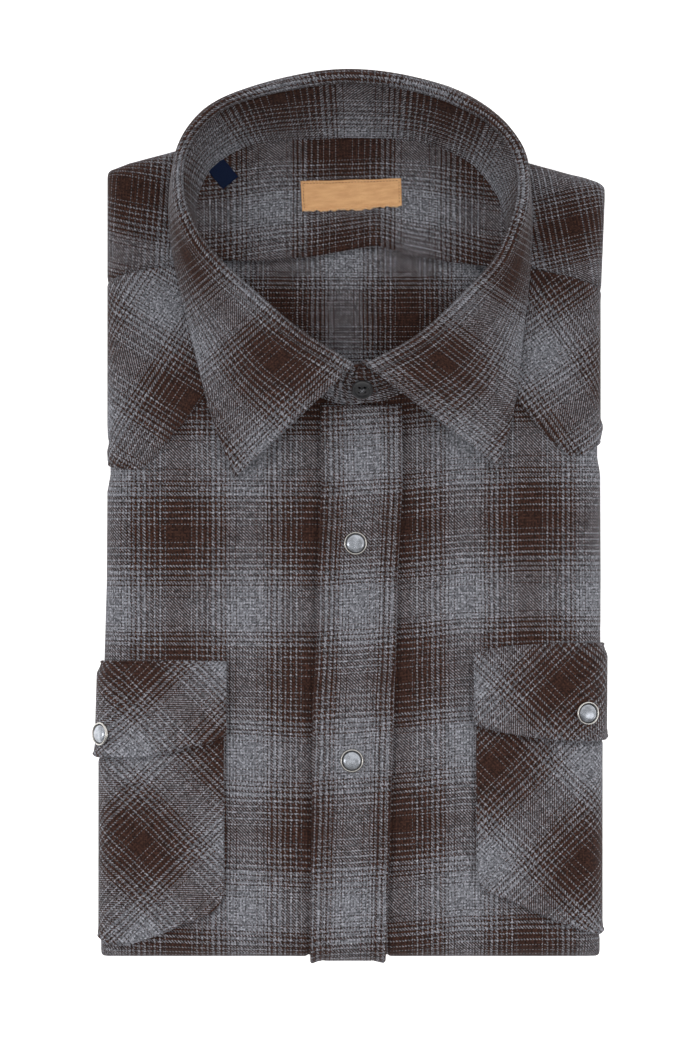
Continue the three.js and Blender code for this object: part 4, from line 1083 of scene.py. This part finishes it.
def seat_of(node):
    """Where a turned CAD piece sits: the middle of its base and its axis, in millimetres."""
    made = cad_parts[node]
    corners = np.array([list(made.matrix_world @ v.co) for v in made.data.vertices]) * 1000
    middle = (corners.min(axis=0) + corners.max(axis=0)) / 2
    axis = np.linalg.svd(corners - corners.mean(axis=0))[2][2]
    axis = axis * (1 if axis[2] > 0 else -1)
    heights = (corners - middle) @ axis
    return middle + axis * heights.min(), axis


def turned(name, node, profile, look, steps=56, closed=False):
    """A piece turned round its axis on the seat of its CAD node. The profile is radius and height."""
    seat, axis = seat_of(node)
    first = np.cross(axis, [0, 1, 0])
    first /= np.linalg.norm(first)
    second = np.cross(axis, first)
    angles = np.linspace(0, 2 * math.pi, steps, endpoint=False)
    rounds = np.cos(angles)[:, None] * first + np.sin(angles)[:, None] * second
    points = []
    faces = []
    rings = []
    for radius, height in profile:
        if radius == 0:
            rings.append([len(points)])
            points.append(seat + axis * height)
        else:
            rings.append(list(range(len(points), len(points) + steps)))
            points.extend(seat + axis * height + radius * rounds)
    pairs = list(zip(rings, rings[1:])) + ([(rings[-1], rings[0])] if closed else [])
    for low, high in pairs:
        for k in range(steps):
            n = (k + 1) % steps
            corners = [low[k % len(low)], low[n % len(low)], high[n % len(high)], high[k % len(high)]]
            faces.append(list(dict.fromkeys(corners)))
    points = np.array(points)
    return piece(name, points, faces, points[:, :2], node, look)


for snap in ("placket_snap_1", "placket_snap_2", "flap_snap_right", "flap_snap_left"):
    turned(f"{snap}_ring_turned", f"{snap}_ring", SNAP_RING, silver, closed=True)
    turned(f"{snap}_cap_turned", f"{snap}_cap", SNAP_CAP, pearl)


# Collar button
# A four-hole button of dark horn-like plastic, sewn on the stand's lower end with grey thread.
horn = hard_look("button_horn", (0.026, 0.026, 0.028), 0.34, 0.0, 0.3, 0.5, 500.0)
button_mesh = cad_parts["collar_button"].data
button_mesh.materials.clear()
button_mesh.materials.append(horn)
pale_thread = hard_look("button_thread", (0.16, 0.165, 0.18), 0.8, 0.0, 0.0, 0.3, 3000.0)
button_seat, button_axis = seat_of("collar_button")
button_across = np.cross([0, 1, 0], button_axis)
button_across /= np.linalg.norm(button_across)
button_along = np.cross(button_axis, button_across)
crossings = []
for start, stop in (((-1.05, -1.05), (1.05, 1.05)), ((1.05, -1.05), (-1.05, 1.05)), ((-1.2, -1.0), (0.95, 1.15))):
    ends = np.array([button_seat + button_axis * 2.35 + button_across * a + button_along * b for a, b in (start, stop)])
    path = ends[0] + (ends[1] - ends[0]) * np.linspace(-0.02, 1.02, 9)[:, None]
    crossings.append((path, np.tile(button_axis, (9, 1))))
stitches("button_thread", crossings, pale_thread, step=9.0, length=2.6, radius=0.2)


# Neck label
# A tan satin label, woven with fine slanting ribs, sewn flat to the inner yoke all round. Its cut edges are a little
# frayed, the lower one most. It is bare.
def satin_cloth():
    nodes = Nodes("label_satin")
    u, v = nodes.cloth_place()
    ribs = nodes.math("SINE", nodes.math("MULTIPLY", nodes.math("ADD", u, nodes.math("MULTIPLY", v, 1.6)), 2 * math.pi / 0.8))
    sheen_patches = nodes.noise(nodes.join(nodes.math("MULTIPLY", u, 0.12), nodes.math("MULTIPLY", v, 0.5)), 1.0, 3.0, 0.6)
    grain = nodes.noise(nodes.join(u, nodes.math("MULTIPLY", v, 3.0)), 2.2, 3.0, 0.7)
    # Broad patches of lighter and darker tan: painted sheen of the satin.
    sheen_tan = nodes.mix(nodes.ramp(sheen_patches, [(0.35, 0.0), (0.65, 1.0)]), (0.5, 0.26, 0.108, 1), (0.6, 0.335, 0.147, 1))
    flecked = nodes.mix(1.0, sheen_tan, nodes.ramp(grain, [(0.3, 0.82), (0.7, 1.18)]), "MULTIPLY")
    nodes.link(flecked, nodes.shader.inputs["Base Color"])
    nodes.bump(nodes.math("MULTIPLY_ADD", ribs, 0.4, grain), 0.4, 0.00012)
    nodes.set(Roughness=0.5, Specular_IOR_Level=0.35, Sheen_Weight=0.1)
    return nodes.material


satin = satin_cloth()
gold_thread = hard_look("label_thread", (0.12, 0.05, 0.02), 0.7, 0.0, 0.0, 0.2, 2500.0)
frayed_thread = hard_look("label_fringe", (0.72, 0.5, 0.3), 0.7, 0.0, 0.0, 0.2, 2500.0)
LABEL_CORNERS = np.array([(-23.3, 157.3), (24.1, 158.6), (24.5, 145.4), (-22.5, 142.6)])


def label_point(u, v):
    """A place on the label, with u and v from nought to one across and down it."""
    upper = LABEL_CORNERS[0] * (1 - u)[..., None] + LABEL_CORNERS[1] * u[..., None]
    lower = LABEL_CORNERS[3] * (1 - u)[..., None] + LABEL_CORNERS[2] * u[..., None]
    spot = upper * (1 - v)[..., None] + lower * v[..., None]
    run = u * 47.5
    ragged = 0.22 * np.sin(run / 0.9) + 0.2 * np.sin(run / 0.53 + 1) + 0.25 * np.sin(run / 2.7 + 0.5)
    spot[..., 1] += ragged * v ** 6 + 0.3 * np.sin(run / 6.0 + 0.4) * v ** 2 + 0.12 * np.sin(run / 3.1) * (1 - v) ** 6
    return spot


def neck_label():
    u, v = np.meshgrid(np.linspace(0, 1, 150), np.linspace(1, 0, 40))
    spot = label_point(u, v)
    x = spot[..., 0]
    y = spot[..., 1]
    under = np.stack([x, y, yoke_height(x, y) + CLOTH + 0.12], -1)
    rim = np.minimum(np.minimum(u, 1 - u) * 47.5, np.minimum(v, 1 - v) * 14)
    wave = 0.14 * np.sin(x / 2.3 + 1) * np.sin(y / 3.1) + 0.1 * np.sin(x / 1.1) * np.exp(-(rim / 1.8) ** 2)
    thick = 0.75 + wave - 0.3 * np.exp(-(rim / 0.35) ** 2) - 0.28 * np.exp(-((rim - 1.1) / 0.4) ** 2)
    over = under + np.stack([0 * x, 0 * x, thick], -1)
    return shell("neck_label_cloth", under, over, np.stack([u * 47.5, v * 14], -1), "neck_label", satin)


label = neck_label()
label_rows = []
for u, v in ((np.linspace(0.02, 0.98, 200), np.full(200, 0.08)), (np.full(80, 0.022), np.linspace(0.08, 0.92, 80)),
             (np.full(80, 0.978), np.linspace(0.08, 0.92, 80))):
    spot = label_point(u, v)
    height = yoke_height(spot[:, 0], spot[:, 1]) + CLOTH + 0.12 + 0.6
    label_rows.append((np.column_stack([spot, height]), np.tile([0.0, 0.0, 1.0], (len(u), 1))))
stitches("label_stitches", label_rows, gold_thread, step=1.5, length=0.95, radius=0.12)
fringe = []
draw = np.random.default_rng(11)
for u in np.arange(0.01, 0.99, 0.011):
    for v, reach in ((1.0, draw.uniform(0.1, 0.75)), (0.0, draw.uniform(0.0, 0.3))):
        base = label_point(np.array([u]), np.array([v]))[0]
        lean = draw.uniform(-0.6, 0.6)
        direction = np.array([lean, -1.0 if v == 1.0 else 1.0])
        inner = base - direction * 0.9
        path = inner + (direction * (0.9 + reach)) * np.linspace(0, 1, 5)[:, None]
        height = yoke_height(path[:, 0], path[:, 1]) + CLOTH + 0.75 + 0.12 * np.sin(np.linspace(0, 3, 5))
        fringe.append((np.column_stack([path, height]), np.tile([0.0, 0.0, 1.0], (5, 1))))
stitches("label_fringe", fringe, frayed_thread, step=9.0, length=0.95, radius=0.1)


# Size tab
# A navy tape folded double and caught under the neck seam, lying on the inner yoke. It is bare.
def tape_cloth():
    nodes = Nodes("tab_tape")
    u, v = nodes.cloth_place()
    ribs = nodes.math("SINE", nodes.math("MULTIPLY", v, 2 * math.pi / 0.5))
    fuzz = nodes.noise(nodes.join(u, v), 3.0, 3.0, 0.7)
    shade = nodes.ramp(fuzz, [(0.3, 0.5), (0.7, 1.5)])
    nodes.link(nodes.mix(1.0, (0.0055, 0.0105, 0.03, 1), shade, "MULTIPLY"), nodes.shader.inputs["Base Color"])
    nodes.bump(nodes.math("MULTIPLY_ADD", ribs, 0.5, fuzz), 0.5, 0.00012)
    nodes.set(Roughness=0.85, Specular_IOR_Level=0.06)
    return nodes.material


tape = tape_cloth()


def size_tab():
    angle = math.radians(40)
    u, v = np.meshgrid(np.linspace(-0.5, 0.5, 36), np.linspace(-0.5, 0.5, 44))
    width = 9.4 - 0.5 * np.abs(v) ** 2
    x = -59.7 + u * width * math.cos(angle) - v * 11 * math.sin(angle)
    y = 160.6 + u * width * math.sin(angle) + v * 11 * math.cos(angle)
    base = yoke_height(x, y) + CLOTH + 0.12
    lift = 0.9 * smooth(-v, 0.0, 0.5) * (0.6 + 0.4 * np.sin(6 * u + 1))
    rim = np.minimum((0.5 - np.abs(u)) * 9.4, (0.5 + v) * 11)
    under = np.stack([x, y, base + lift], -1)
    thick = 0.8 - 0.3 * np.exp(-(rim / 0.35) ** 2) - 0.1 * np.exp(-((rim - 0.9) / 0.3) ** 2)
    over = under + np.stack([0 * x, 0 * x, thick], -1)
    return shell("size_tab_cloth", under, over, np.stack([u * 9.4, v * 11], -1), "size_tab", tape)


tab = size_tab()


# Setting
# A white surface and soft white light from all round, with a larger source from the upper left, as in a catalogue.
bpy.ops.mesh.primitive_plane_add(size=6, location=(0, 0, -0.0003))
floor = bpy.context.object
floor.name = "floor"
paper = Nodes("white_paper")
paper.set(Roughness=0.9, Specular_IOR_Level=0.1)
paper.shader.inputs["Base Color"].default_value = (0.95, 0.95, 0.95, 1)
paper.shader.inputs["Emission Color"].default_value = (1, 1, 1, 1)
paper.shader.inputs["Emission Strength"].default_value = 0.6
floor.data.materials.append(paper.material)


def soft_light(name, at, size, power, aim=(0, 0, 0)):
    lamp = bpy.data.lights.new(name, "AREA")
    lamp.shape = "RECTANGLE"
    lamp.size, lamp.size_y = size
    lamp.energy = power
    made = bpy.data.objects.new(name, lamp)
    made.location = at
    made.rotation_euler = (Vector(aim) - Vector(at)).to_track_quat("-Z", "Y").to_euler()
    bpy.context.scene.collection.objects.link(made)
    return made


soft_light("left_light", (-0.95, -0.15, 0.72), (0.35, 0.7), 2.8)
soft_light("right_light", (0.95, -0.3, 0.72), (0.35, 0.7), 1.4)
overhead = soft_light("overhead_light", (0.04, -0.2, 1.0), (0.5, 0.5), 0.4, (0.01, -0.15, 0))
overhead.data.spread = math.radians(42)
overhead.visible_glossy = False
world = bpy.data.worlds.new("studio")
bpy.context.scene.world = world
world.use_nodes = True
sky = world.node_tree
where = sky.nodes.new("ShaderNodeTexCoord")
split = sky.nodes.new("ShaderNodeSeparateXYZ")
dim = sky.nodes.new("ShaderNodeMapRange")
dim.inputs["From Min"].default_value = -0.6
dim.inputs["From Max"].default_value = 0.5
dim.inputs["To Min"].default_value = 0.42
dim.inputs["To Max"].default_value = 1.25
sky.links.new(where.outputs["Generated"], split.inputs[0])
sky.links.new(split.outputs[1], dim.inputs["Value"])
sky.links.new(dim.outputs[0], sky.nodes["Background"].inputs[1])
sky.nodes["Background"].inputs[0].default_value = (1, 1, 1, 1)

camera_data = bpy.data.cameras.new("camera")
camera_data.lens = 260
camera_data.sensor_width = 36
camera = bpy.data.objects.new("camera", camera_data)
camera.location = (0, -0.0047, 0.021 + 0.4935 * 260 / 36)
bpy.context.scene.collection.objects.link(camera)
bpy.context.scene.camera = camera
bpy.context.scene.view_settings.view_transform = "Standard"
bpy.context.scene.view_settings.look = "None"
